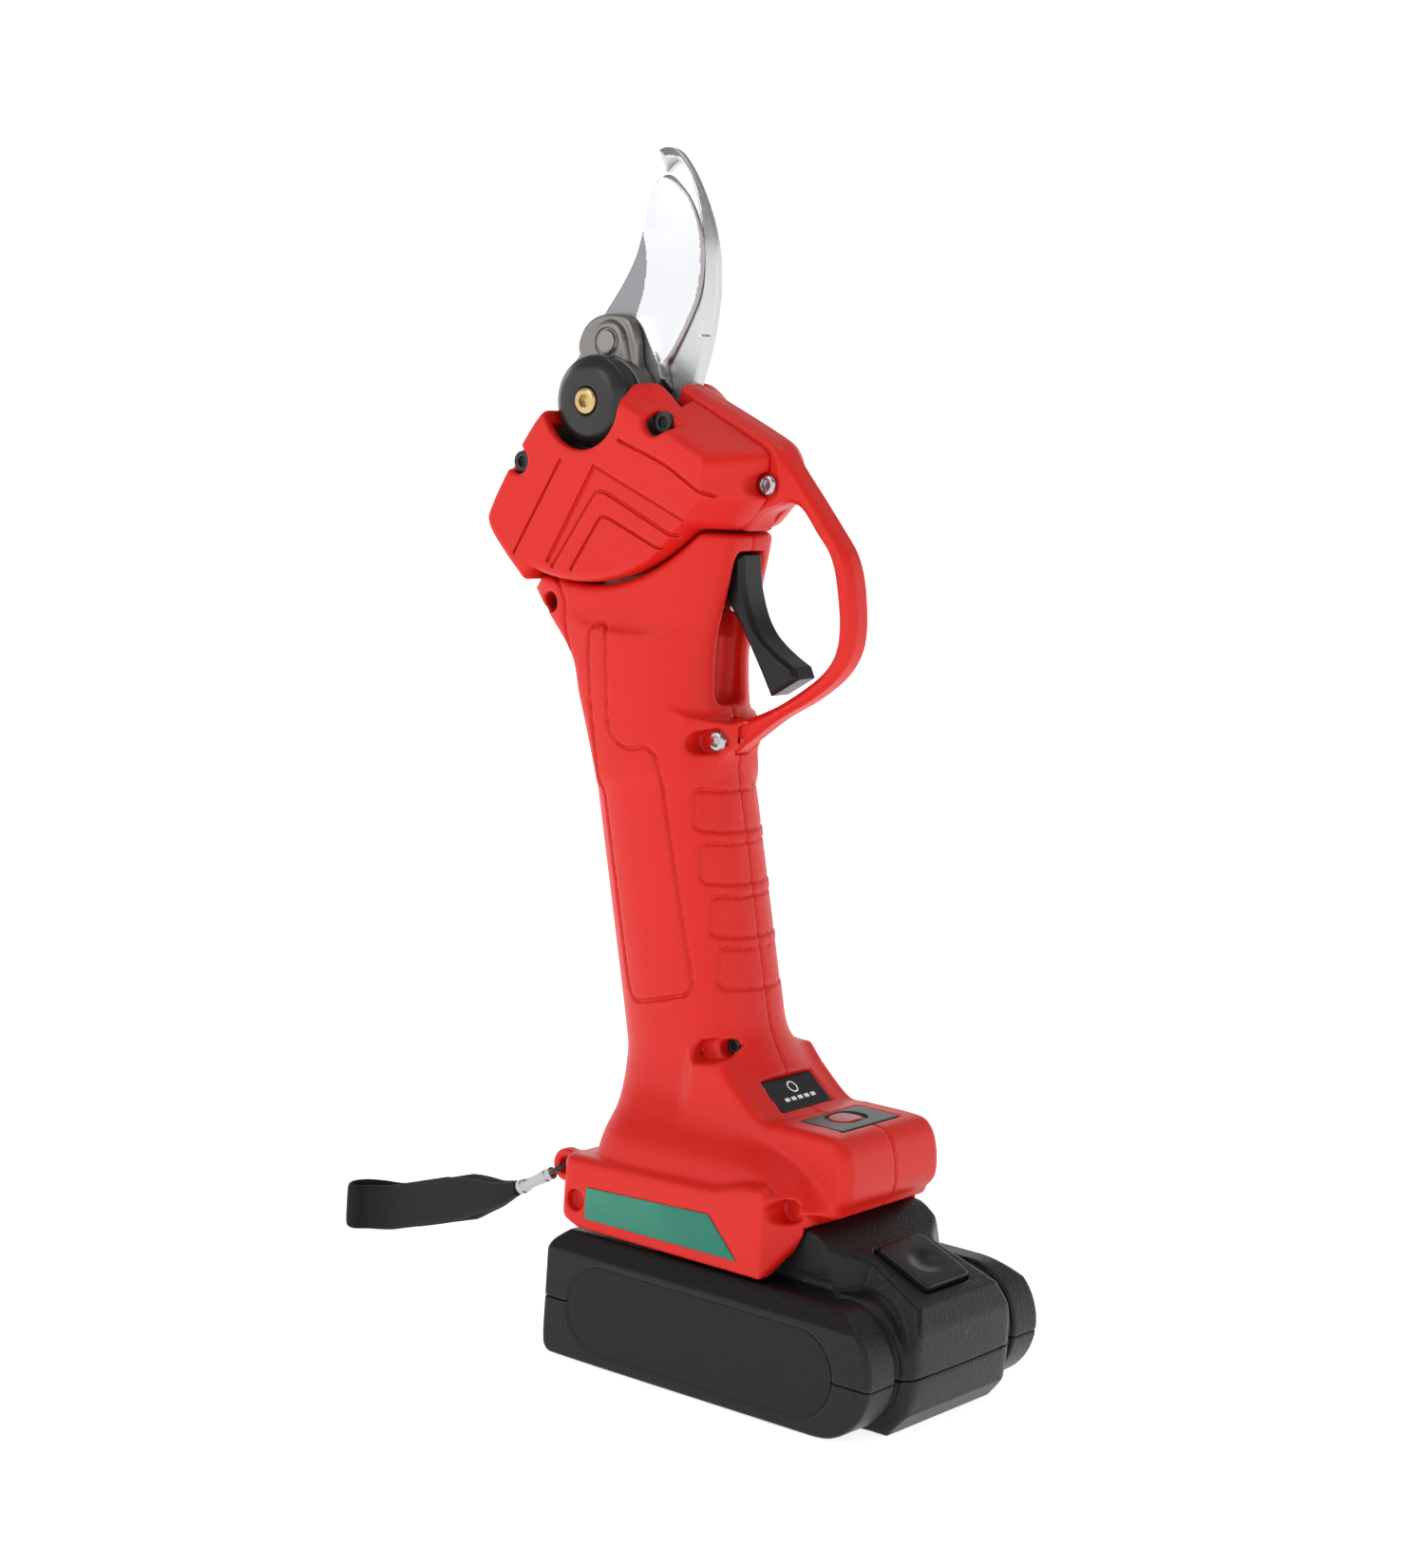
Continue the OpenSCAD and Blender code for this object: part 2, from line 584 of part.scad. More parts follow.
// ---- battery pack ----------------------------------------------------------
wing_side = concat(
  [[battery_x0 + 3.5, 0]],
  arc([wing_x, wing_r], wing_r, -90, 90, 14),
  [[battery_x0 + 4, wing_height], [battery_x0 + 0.6, wing_height - 3.4], [battery_x0, 14.4], [battery_x0 + 0.3, 3]]
);
block_side = [
  [battery_x0 + 6, 0], [block_x1 - 6, 0], [block_x1 - 1.4, 5.4], [block_x1, 14.4], [block_x1 - 0.4, 24.8],
  [block_x1 - 2.8, 30.5], [27.5, 39.6], [20.5, rail_z], [-24, rail_z], [-24, 30], [battery_x0 + 6, 30]
];
wing_section = [
  [-battery_width / 2 + 1, 0], [-battery_width / 2, 1], [-battery_width / 2, 26.8],
  [-battery_width / 2 + 4.6, wing_height], [battery_width / 2 - 4.6, wing_height],
  [battery_width / 2, 26.8], [battery_width / 2, 1], [battery_width / 2 - 1, 0]
];
module along(x0, x1) { translate([x0, 0, 0]) rotate([90, 0, 90]) linear_extrude(x1 - x0) children(); }
module pack_solid() {
  difference() {
    union() {
      intersection() {
        across(-battery_width / 2, battery_width / 2) polygon(wing_side);
        along(-60, 60) polygon(wing_section);
      }
      across(-block_half, block_half) polygon(block_side);
    }
    // a shallow groove on each side of the middle block's front, and the slide grooves
    for (side = [-1, 1]) translate([47.8, side > 0 ? block_half : -block_half - 2.4, -1]) cube([30, 2.4, 50]);
    for (side = [-1, 1]) translate([-30, side > 0 ? 20.5 : -30.5, 35]) cube([90, 10, 2.8]);
  }
}
module pack_hollow() {
  across(-33.8, 33.8) polygon(concat(
    [[battery_x0 + 2, 2.2]], arc([wing_x, wing_r], wing_r - 2.4, -90, 58, 10), [[battery_x0 + 2, 27.2]]));
  translate([-20, -18.4, 20]) cube([44, 36.8, rail_z - 22.2]);
}
module lower_case() {
  color("#2b2c2e") difference() {
    union() {
      difference() {
        intersection() { pack_solid(); translate([-100, -100, -1]) cube([200, 200, 15.3]); }
        pack_hollow();
      }
      for (p = battery_screw_places) translate([p[0], p[1], 1]) cylinder(r = 2.9, h = 4.2);
    }
    panel_recess();
    battery_screw_holes();
  }
}
module panel_recess() {
  for (side = [-1, 1]) across(side > 0 ? 35.4 : -40, side > 0 ? 40 : -35.4) polygon(panel_outline);
}
module upper_case() {
  color("#2b2c2e") difference() {
    intersection() { pack_solid(); translate([-100, -100, 14.5]) cube([200, 200, 60]); }
    pack_hollow();
    panel_recess();
    // slots for the terminal blades
    for (y = [-8, 0, 8]) translate([-26, y - 0.7, 36]) cube([21.4, 1.4, 12]);
    // the release button's well
    button_frame() translate([-1.2, -9.4, -8.4]) cube([17.4, 18.8, 20.8]);
  }
}
panel_outline = concat(
  arc([-30.5, 14.4], 10.9, 90, 270, 12),
  [[27.5, 3.5]],
  arc([27.5, 14.4], 10.9, -90, 90, 12)
);
panel_inset = concat(
  arc([-30.5, 14.4], 10.6, 90, 270, 12),
  arc([27.5, 14.4], 10.6, -90, 90, 12)
);
module side_panels() {
  color("#3a3334") for (side = [-1, 1])
    across(side > 0 ? 35.4 : -35.8, side > 0 ? 35.8 : -35.4) polygon(panel_inset);
}
cell_pitch = 18.3;
module battery_cells() {
  color("#3f7fc4") for (k = [-2:2]) rod_y([k * cell_pitch - 1.3, 12.4], 9.1, -32.5, 32.5);
}
module cell_straps() {
  color("#cfd2d6") for (y = [-32.8, 32.5]) for (k = [-2, 0])
    translate([k * cell_pitch - 6, y, 9]) cube([27, 0.3, 6]);
}
module cell_holder() {
  color("#e8e8e4") difference() {
    translate([-46.4, -24, 12.4]) cube([90, 48, 10.2]);
    translate([-50, -21, 0]) cube([100, 42, 30]);
    for (k = [-2:2]) rod_y([k * cell_pitch - 1.3, 12.4], 9.12, -40, 40);
  }
}
module battery_board() { color("#1f6b3a") translate([-19, -18, 23.2]) cube([42, 36, 1.6]); }
module battery_contacts() {
  color("#d2b36a") for (y = [-8, 0, 8]) for (s = [-1, 1])
    translate([-14.6, y + s * 0.9 - 0.2, 24.8]) cube([8, 0.4, 16.2]);
}
// frame of the sloping face that holds the release button
module button_frame() { translate([30.6, 0, 38.3]) rotate([0, 23, 0]) children(); }
module release_button() {
  color("#242527") button_frame() difference() {
    union() {
      translate([-0.8, -9, -1.2]) cube([16.6, 18, 2.6]);
      translate([-0.8, -9, -6]) cube([2.4, 18, 5]);
    }
    translate([7.4, 0, 13.2]) rotate([90, 0, 0]) cylinder(r = 13, h = 11, center = true);
  }
}
module latch_spring() {
  color("#c4c7cb") button_frame() translate([9, 0, -8.4]) difference() {
    cylinder(r = 2.4, h = 4.9);
    translate([0, 0, -1]) cylinder(r = 1.7, h = 9);
  }
}
battery_screw_places = [[-28.75, -28], [-28.75, 28], [26.15, -28], [26.15, 28]];
module battery_screw_holes() {
  for (p = battery_screw_places) translate([p[0], p[1], -1]) { cylinder(r = 1.25, h = 12); cylinder(r = 2.4, h = 3.4); }
}
module battery_screws() {
  color("#3a3b3d") for (p = battery_screw_places) translate([p[0], p[1], 0.6]) difference() {
    union() { cylinder(r = 2.3, h = 1.8); cylinder(r = 1.2, h = 6.6); }
    translate([0, 0, -1]) cylinder(r = 1.1, h = 2, $fn = 6);
  }
}

// ---- wrist strap -----------------------------------------------------------
// middle line of the webbing, which stands on its edge: out along one run and back
strap_route = [
  [-66.6, -27.4, 35.8], [-77.5, -22.8, 30.9], [-89.7, -17, 26.6], [-103, -11, 21.8], [-117, -4.6, 16.6],
  [-127.8, 0, 12.6], [-139, 4.2, 8.6], [-146.8, 5, 6.8], [-151, 3.4, 6.2], [-153.8, 4.2, 6.2],
  [-154.8, 7.4, 6.2], [-153.2, 11, 6.2], [-149.2, 13.6, 6.2], [-143.6, 14.2, 6.6], [-137, 12.8, 8.2],
  [-128, 9.4, 11.4], [-118, 5, 15.2], [-108, 0.2, 19], [-98, -5.4, 22.8], [-88.4, -12, 26.6],
  [-79, -18.6, 30.2], [-72.6, -23, 33.2], [-67, -26, 35.9]
];
strap_w = 12;
strap_t = 1.6;
function unit(v) = v / norm(v);
function route_dir(p, i) = unit(p[min(i + 1, len(p) - 1)] - p[max(i - 1, 0)]);
// the webbing is gathered where it enters the ferrule
function strap_half(i, n) = let (k = min(i, n - 1 - i)) min(strap_w / 2, 1.6 + 0.75 * k);
module wrist_strap() {
  n = len(strap_route);
  sides = [[-1, -0.7], [-0.6, -1], [0.6, -1], [1, -0.7], [1, 0.7], [0.6, 1], [-0.6, 1], [-1, 0.7]];
  color("#17181a") polyhedron(
    points = [for (i = [0:n - 1]) let (d = route_dir(strap_route, i), s = unit(cross([0, 0, 1], d)), u = cross(d, s))
      for (q = sides) strap_route[i] + u * q[1] * strap_half(i, n) + s * q[0] * strap_t / 2],
    faces = concat(
      [[for (k = [7:-1:0]) k]],
      [[for (k = [0:7]) (n - 1) * 8 + k]],
      [for (i = [0:n - 2]) for (k = [0:7]) let (m = (k + 1) % 8) [i * 8 + k, i * 8 + m, (i + 1) * 8 + m]],
      [for (i = [0:n - 2]) for (k = [0:7]) let (m = (k + 1) % 8) [i * 8 + k, (i + 1) * 8 + m, (i + 1) * 8 + k]]
    )
  );
}
// frame of the ferrule: X runs from the eye towards the webbing
module ferrule_frame() { translate([-50.2, -27, 45.6]) rotate([0, 149, 0]) children(); }
module strap_cord() {
  color("#1c1d1f") ferrule_frame() translate([2.9, 0, 0]) rotate_extrude() translate([2.9, 0]) circle(r = 0.6, $fn = 16);
}
module strap_ferrule() {
  color("#c9ccd0") ferrule_frame() translate([6.4, 0, 0]) rotate([0, 90, 0]) cylinder(r = 1.6, h = 12);
}

head_shell_left();
head_shell_right();
handle_shell_left();
handle_shell_right();
trigger_guard();
gear_housing();
counter_blade();
moving_blade();
drive_gear();
drive_pin();
pivot_bolt();
pivot_washers();
adjusting_nut();
lock_screw();
bevel_pinion();
pinion_bearing();
planet_carrier();
planet_gear_a();
planet_gear_b();
planet_gear_c();
ring_gear();
sun_gear();
motor_can();
motor_magnets();
motor_rotor();
motor_board();
trigger();
trigger_pin();
trigger_spring();
trigger_magnet();
hall_sensor();
control_board();
motor_wires();
power_plate();
power_button();
power_switch();
display_window();
display_board();
terminal_block();
terminal_blades();
side_labels();
head_screws();
guard_screws();
handle_screws();
lower_case();
upper_case();
side_panels();
battery_cells();
cell_straps();
cell_holder();
battery_board();
battery_contacts();
release_button();
latch_spring();
battery_screws();
strap_cord();
strap_ferrule();
wrist_strap();
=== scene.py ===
# Battery electric pruner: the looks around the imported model. Shapes are in millimetres until make_mesh.
import json
import math
from functools import partial, reduce
import bmesh
import bpy
import numpy as np
from mathutils import Matrix, Vector


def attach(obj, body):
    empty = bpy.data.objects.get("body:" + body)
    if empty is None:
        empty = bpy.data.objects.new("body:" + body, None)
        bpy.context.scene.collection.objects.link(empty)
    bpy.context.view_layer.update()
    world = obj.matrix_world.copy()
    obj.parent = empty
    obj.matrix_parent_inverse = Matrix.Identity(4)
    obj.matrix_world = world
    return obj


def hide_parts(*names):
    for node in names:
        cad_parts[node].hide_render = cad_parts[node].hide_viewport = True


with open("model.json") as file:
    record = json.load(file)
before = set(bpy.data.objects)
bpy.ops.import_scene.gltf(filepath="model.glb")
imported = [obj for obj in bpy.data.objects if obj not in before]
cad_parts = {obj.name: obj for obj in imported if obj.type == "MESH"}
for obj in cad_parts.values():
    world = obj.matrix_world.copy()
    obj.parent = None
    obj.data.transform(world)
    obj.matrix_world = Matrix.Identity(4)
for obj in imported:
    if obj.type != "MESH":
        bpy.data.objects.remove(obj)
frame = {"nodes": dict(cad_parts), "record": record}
bpy.context.scene.view_settings.view_transform = "Standard"
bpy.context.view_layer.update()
PIVOT = PX, PZ = -67.5, 232.5       # the blades' pivot
LEAN = 13.3                         # degrees the handle leans forward
TILT = math.tan(math.radians(LEAN))
SEAM = 0.02                         # each shell half stops this short of the middle
OPEN = -40                          # y well outside the near side, where pockets start
NEAR, FAR = -1, 1                   # the side of a shell half
f32 = np.float32

# ------------------------------------------------------------------ camera
CAM_DEG = (37.3566, 8.6581, 3.6604)  # azimuth, elevation and roll, solved from the photograph
CAM_AT = (0.45185, -0.63685, 0.26301)
FOCAL_PX, PHOTO_PX, SENSOR = 3459.743, 1650.0, 36.0


def camera():
    az, el, roll = (math.radians(v) for v in CAM_DEG)
    fwd = np.array([-math.sin(az) * math.cos(el), math.cos(az) * math.cos(el), -math.sin(el)])
    right = np.array([math.cos(az), math.sin(az), 0.0])
    up = np.cross(right, fwd)
    r = math.cos(roll) * right + math.sin(roll) * up
    u = math.cos(roll) * up - math.sin(roll) * right
    cam = bpy.data.cameras.new("camera")
    cam.sensor_fit = "AUTO"
    cam.sensor_width = SENSOR
    cam.lens = FOCAL_PX * SENSOR / PHOTO_PX
    cam.clip_start, cam.clip_end = 0.01, 20.0
    obj = bpy.data.objects.new("camera", cam)
    bpy.context.scene.collection.objects.link(obj)
    obj.matrix_world = Matrix([[r[i], u[i], -fwd[i], CAM_AT[i]] for i in range(3)] + [[0, 0, 0, 1]])
    bpy.context.scene.camera = obj


camera()


# ------------------------------------------------------------------ implicit shapes
def resample(pts, step=0.5, closed=True):
    """Catmull-Rom through the points; a point given as (x, y, 0) is a sharp corner."""
    P = [np.array(p[:2], float) for p in pts]
    sharp = [len(p) > 2 for p in pts]
    n = len(P)
    out = []
    for i in range(n if closed else n - 1):
        p1, p2 = P[i], P[(i + 1) % n]
        p0 = P[i - 1] if (closed or i > 0) else p1
        p3 = P[(i + 2) % n] if (closed or i + 2 < n) else p2
        t1 = (p2 - p0) * 0.5 if not sharp[i] else (p2 - p1)
        t2 = (p3 - p1) * 0.5 if not sharp[(i + 1) % n] else (p2 - p1)
        L = np.linalg.norm(p2 - p1)
        a, b = np.linalg.norm(t1), np.linalg.norm(t2)
        t1 = t1 * min(1, L / max(a, 1e-6))
        t2 = t2 * min(1, L / max(b, 1e-6))
        k = max(1, int(L / step))
        for s in range(k):
            t = s / k
            out.append((2 * t**3 - 3 * t**2 + 1) * p1 + (t**3 - 2 * t**2 + t) * t1
                       + (-2 * t**3 + 3 * t**2) * p2 + (t**3 - t**2) * t2)
    if not closed:
        out.append(P[-1])
    return np.array(out)


def circle_pts(c, r, a0, a1, n):
    a = np.radians(np.linspace(a0, a1, n))
    return [(c[0] + r * math.cos(t), c[1] + r * math.sin(t)) for t in a]


class Flat:
    """Signed distance to a closed outline, or distance to an open line, kept as a table."""

    def __init__(self, pts, closed=True, margin=5.0, step=0.16, blur=0.0):
        P = np.array([p[:2] for p in pts], float)
        self.lo = P.min(0) - margin
        self.hi = P.max(0) + margin
        self.step = step
        nx, ny = (np.ceil((self.hi - self.lo) / step).astype(int) + 1)
        u = (self.lo[0] + step * np.arange(nx)).astype(f32)[:, None]
        v = (self.lo[1] + step * np.arange(ny)).astype(f32)[None, :]
        d = np.full((nx, ny), 1e9, f32)
        s = np.ones((nx, ny), f32)
        n = len(P)
        for i in range(n if closed else n - 1):
            a, b = P[i], P[(i + 1) % n]
            e = b - a
            ee = float(e @ e)
            if ee < 1e-9:
                continue
            wu, wv = u - f32(a[0]), v - f32(a[1])
            t = np.clip((wu * f32(e[0]) + wv * f32(e[1])) / f32(ee), 0, 1)
            du, dv = wu - t * f32(e[0]), wv - t * f32(e[1])
            np.minimum(d, du * du + dv * dv, out=d)
            if closed:
                c1 = v >= a[1]
                c2 = v < b[1]
                c3 = (f32(e[0]) * wv) > (f32(e[1]) * wu)
                flip = (c1 & c2 & c3) | (~c1 & ~c2 & ~c3)
                s = np.where(flip, -s, s)
        d = np.sqrt(d) * (s if closed else 1)
        if blur > 0:
            k = int(3 * blur / step)
            g = np.exp(-0.5 * (np.arange(-k, k + 1) * step / blur) ** 2)
            g = (g / g.sum()).astype(f32)
            d = np.apply_along_axis(lambda m: np.convolve(np.pad(m, k, mode="edge"), g, "valid"), 0, d)
            d = np.apply_along_axis(lambda m: np.convolve(np.pad(m, k, mode="edge"), g, "valid"), 1, d)
        self.t = np.ascontiguousarray(d.astype(f32))
        self.nx, self.ny = nx, ny

    def __call__(self, u, v):
        x = (u - f32(self.lo[0])) / f32(self.step)
        y = (v - f32(self.lo[1])) / f32(self.step)
        xc = np.clip(x, 0, self.nx - 1.001)
        yc = np.clip(y, 0, self.ny - 1.001)
        i = xc.astype(np.int32)
        j = yc.astype(np.int32)
        fx, fy = xc - i, yc - j
        t = self.t.ravel()
        k = i * self.ny + j
        a, b, c, d = t[k], t[k + 1], t[k + self.ny], t[k + self.ny + 1]
        v0 = (a * (1 - fy) + b * fy) * (1 - fx) + (c * (1 - fy) + d * fy) * fx
        return v0 + np.hypot(x - xc, y - yc) * f32(self.step * 0.9)


def smin(a, b, k):
    h = np.maximum(k - np.abs(a - b), 0) / k
    return np.minimum(a, b) - h * h * (k * 0.25)


def smax(a, b, k):
    h = np.maximum(k - np.abs(a - b), 0) / k
    return np.maximum(a, b) + h * h * (k * 0.25)


def slab(y, y0, y1):
    return np.abs(y - (y0 + y1) * 0.5) - (y1 - y0) * 0.5


def rounded(d2, dy, r):
    """An outline pushed through a thickness, with edges of radius r."""
    a, b = d2 + r, dy + r
    return np.hypot(np.maximum(a, 0), np.maximum(b, 0)) + np.minimum(np.maximum(a, b), 0) - r


def sstep(a, b, x):
    t = np.clip((x - a) / (b - a), 0, 1)
    return t * t * (3 - 2 * t)


def both(*d):
    """Where all of these shapes overlap."""
    return reduce(np.maximum, d)


def either(*d):
    """All of these shapes together."""
    return reduce(np.minimum, d)


def cut(d, hole, k=0):
    """A shape without the hole; k is how far the rim is rounded."""
    return smax(d, -hole, k) if k else np.maximum(d, -hole)


def dist(x, z, c):
    return np.hypot(x - c[0], z - c[1])


def rbox(u, v, hu, hv, r):
    """A rectangle of these half sizes with rounded corners."""
    return rounded(np.abs(u) - hu, np.abs(v) - hv, r)


def turn(dx, dz, deg):
    """Coordinates in axes turned by deg in the XZ plane."""
    c, s = math.cos(math.radians(deg)), math.sin(math.radians(deg))
    return dx * c - dz * s, dx * s + dz * c


BLOCK_CELLS = 8         # a sparse block's side, in cells
BLOCKS_AT_ONCE = 90
VERTS_AT_ONCE = 60000


def mesh_sdf(name, f, lo, hi, h, newton=2):
    """Surface nets on a sparse grid of blocks, then each vertex is moved onto the surface."""
    B = BLOCK_CELLS
    lo = np.array(lo, float) - 2 * h
    hi = np.array(hi, float) + 2 * h
    nb = np.ceil((hi - lo) / (B * h)).astype(int)
    c = [lo[i] + (np.arange(nb[i]) + 0.5) * B * h for i in range(3)]
    G = np.stack(np.meshgrid(*c, indexing="ij"), -1).reshape(-1, 3).astype(f32)
    d = f(G[:, 0], G[:, 1], G[:, 2])
    ids = np.stack(np.meshgrid(*[np.arange(n) for n in nb], indexing="ij"), -1).reshape(-1, 3)
    keep = np.abs(d) < 0.5 * math.sqrt(3) * B * h * 1.3 + 0.6
    ids = ids[keep]
    o = np.arange(B + 1)
    off = np.stack(np.meshgrid(o, o, o, indexing="ij"), -1).reshape(-1, 3)
    dims = nb * B + 2
    keys_all, verts_all, edges = [], [], []
    corner = np.array([[i, j, k] for i in (0, 1) for j in (0, 1) for k in (0, 1)])
    pairs = [(a, b) for a in range(8) for b in range(a + 1, 8) if np.abs(corner[a] - corner[b]).sum() == 1]
    for s in range(0, len(ids), BLOCKS_AT_ONCE):
        blk = ids[s:s + BLOCKS_AT_ONCE]
        gi = blk[:, None, :] * B + off[None]
        P = (lo + gi * h).astype(f32).reshape(-1, 3)
        v = f(P[:, 0], P[:, 1], P[:, 2]).reshape(len(blk), B + 1, B + 1, B + 1)
        neg = v < 0
        cnt = sum(neg[:, i:i + B, j:j + B, k:k + B].astype(np.int8) for i, j, k in corner)
        act = np.argwhere((cnt > 0) & (cnt < 8))
        if len(act):
            cv = np.stack([v[(act[:, 0], *(act[:, 1:] + q).T)] for q in corner], 1)
            acc = np.zeros((len(act), 3))
            num = np.zeros(len(act))
            for a, b in pairs:
                va, vb = cv[:, a], cv[:, b]
                m = (va < 0) != (vb < 0)
                t = np.where(m, va / np.where(m, va - vb, 1), 0)
                acc += np.where(m[:, None], corner[a] + t[:, None] * (corner[b] - corner[a]), 0)
                num += m
            cell = blk[act[:, 0]] * B + act[:, 1:]
            verts_all.append(lo + h * (cell + acc / num[:, None]))
            keys_all.append((cell[:, 0] * dims[1] + cell[:, 1]) * dims[2] + cell[:, 2])
        for ax in range(3):
            sl0 = [slice(None), slice(0, B), slice(0, B), slice(0, B)]
            sl1 = list(sl0)
            sl1[ax + 1] = slice(1, B + 1)
            a, b = neg[tuple(sl0)], neg[tuple(sl1)]
            e = np.argwhere(a != b)
            if len(e):
                g = blk[e[:, 0]] * B + e[:, 1:]
                edges.append((ax, g, a[e[:, 0], e[:, 1], e[:, 2], e[:, 3]]))
    keys = np.concatenate(keys_all)
    V = np.concatenate(verts_all)
    order = np.argsort(keys)
    keys, V = keys[order], V[order]
    quads = []
    for ax, g, inside in edges:
        u, w = (ax + 1) % 3, (ax + 2) % 3
        q = []
        for du, dw in ((0, 0), (1, 0), (1, 1), (0, 1)):
            cc = g.copy()
            cc[:, u] -= du
            cc[:, w] -= dw
            k = (cc[:, 0] * dims[1] + cc[:, 1]) * dims[2] + cc[:, 2]
            q.append(np.searchsorted(keys, k))
        q = np.stack(q, 1)
        q[inside] = q[inside][:, ::-1]
        quads.append(q)
    Q = np.concatenate(quads)[:, ::-1]
    Q = Q[(Q < len(keys)).all(1)]
    e = f32(0.04)
    for _ in range(newton):
        for s in range(0, len(V), VERTS_AT_ONCE):
            p = V[s:s + VERTS_AT_ONCE].astype(f32)
            x, y, z = p[:, 0], p[:, 1], p[:, 2]
            d0 = f(x, y, z)
            g = np.stack([f(x + e, y, z) - f(x - e, y, z), f(x, y + e, z) - f(x, y - e, z),
                          f(x, y, z + e) - f(x, y, z - e)], 1) / (2 * e)
            gg = np.maximum((g * g).sum(1), 0.25)
            stepv = np.clip(d0 / gg, -0.5 * h, 0.5 * h)[:, None] * g
            V[s:s + VERTS_AT_ONCE] = p - stepv
    return make_mesh(name, V, Q)


def make_mesh(name, V, Q):
    me = bpy.data.meshes.new(name)
    V = np.asarray(V, float) / 1000.0
    me.vertices.add(len(V))
    me.vertices.foreach_set("co", V.ravel())
    me.loops.add(Q.size)
    me.loops.foreach_set("vertex_index", Q.ravel().astype(np.int32))
    me.polygons.add(len(Q))
    me.polygons.foreach_set("loop_start", np.arange(0, Q.size, Q.shape[1], dtype=np.int32))
    me.polygons.foreach_set("loop_total", np.full(len(Q), Q.shape[1], np.int32))
    me.polygons.foreach_set("use_smooth", np.ones(len(Q), bool))
    me.update(calc_edges=True)
    me.validate()
    ob = bpy.data.objects.new(name, me)
    bpy.context.scene.collection.objects.link(ob)
    return ob


def finish_piece(ob, mats, body, slot, *nodes):
    for m in mats if isinstance(mats, tuple) else (mats,):
        ob.data.materials.append(m)
    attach(ob, body)
    if nodes:
        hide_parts(*nodes)
    return ob


def piece(name, f, lo, hi, h, *facts):
    return finish_piece(mesh_sdf("visual_" + name, f, lo, hi, h), *facts)


# ------------------------------------------------------------------ materials
def node(tree, kind, inputs={}, **settings):
    """A shader node; an input is given a value, or the socket that it's linked from."""
    n = tree.nodes.new("ShaderNode" + kind)
    for k, v in settings.items():
        setattr(n, k, v)
    for k, v in inputs.items():
        if isinstance(v, bpy.types.NodeSocket):
            tree.links.new(v, n.inputs[k])
        else:
            n.inputs[k].default_value = v
    return n


def principled(m):
    return next(n for n in m.node_tree.nodes if n.type == "BSDF_PRINCIPLED")


def material(name, base, rough, metallic=0.0, spec=0.5, grain=900, bump=0.1, vary=0.04, brushed=None,
             edge=0.0, rough_vary=0.08, depth=0.0002):
    """Cloudy colour, fine grain in roughness and bump, and a painted highlight: paler colour along sharp edges."""
    m = bpy.data.materials.new(name)
    m.use_nodes = True
    nt = m.node_tree
    nt.nodes.clear()
    place = node(nt, "TexCoord").outputs["Object"]
    cloud = node(nt, "TexNoise", {"Vector": place, "Scale": 26.0, "Detail": 4.0}).outputs[0]
    dark, light = ([min(1.0, max(0.0, v * k)) for v in base] for k in (1 - vary, 1 + vary))
    col = node(nt, "MixRGB", {0: cloud, 1: (*dark, 1), 2: (*light, 1)}).outputs[0]
    along = node(nt, "Mapping", {0: place, "Scale": brushed}).outputs[0] if brushed else place
    fine = node(nt, "TexNoise", {"Vector": along, "Scale": grain, "Detail": 3.0}).outputs[0]
    # painted highlight: sharp convex edges (high pointiness) are mixed towards a paler colour, standing in for light
    # catching the edges
    if edge > 0:
        sharp = node(nt, "NewGeometry").outputs["Pointiness"]
        edge_highlight = node(nt, "MapRange", {0: sharp, 1: 0.52, 2: 0.62, 3: 0.0, 4: edge}).outputs[0]
        highlight_col = [min(1.0, v * 1.5 + 0.06) for v in base]
        col = node(nt, "MixRGB", {0: edge_highlight, 1: col, 2: (*highlight_col, 1)}).outputs[0]
    gloss = node(nt, "MapRange", {0: fine, 3: max(0.02, rough - rough_vary), 4: min(1.0, rough + rough_vary)})
    look = {"Metallic": metallic, "Specular IOR Level": spec, "Base Color": col, "Roughness": gloss.outputs[0]}
    if bump > 0:
        look["Normal"] = node(nt, "Bump", {"Strength": bump, "Distance": depth, "Height": fine}).outputs[0]
    node(nt, "OutputMaterial", {0: node(nt, "BsdfPrincipled", look).outputs[0]})
    return m


def label_material():
    """The green film, mottled and paler towards the back."""
    m = material("label_film_green", (0.014, 0.16, 0.11), 0.45, spec=0.25, bump=0.1, vary=0.14)
    nt = m.node_tree
    base = principled(m).inputs["Base Color"]
    place = node(nt, "TexCoord").outputs["Object"]
    x = node(nt, "SeparateXYZ", {0: place}).outputs[0]
    back = node(nt, "MapRange", {0: x, 1: -0.041, 2: 0.004, 3: 0.5, 4: 0.0}).outputs[0]
    noise = node(nt, "TexNoise", {"Vector": place, "Scale": 70, "Detail": 5}).outputs[0]
    mottle = node(nt, "Math", {0: back, 1: noise}, operation="MULTIPLY").outputs[0]
    mixed = node(nt, "MixRGB", {0: mottle, 1: base.links[0].from_socket, 2: (0.12, 0.38, 0.25, 1)})
    nt.links.new(mixed.outputs[0], base)
    return m


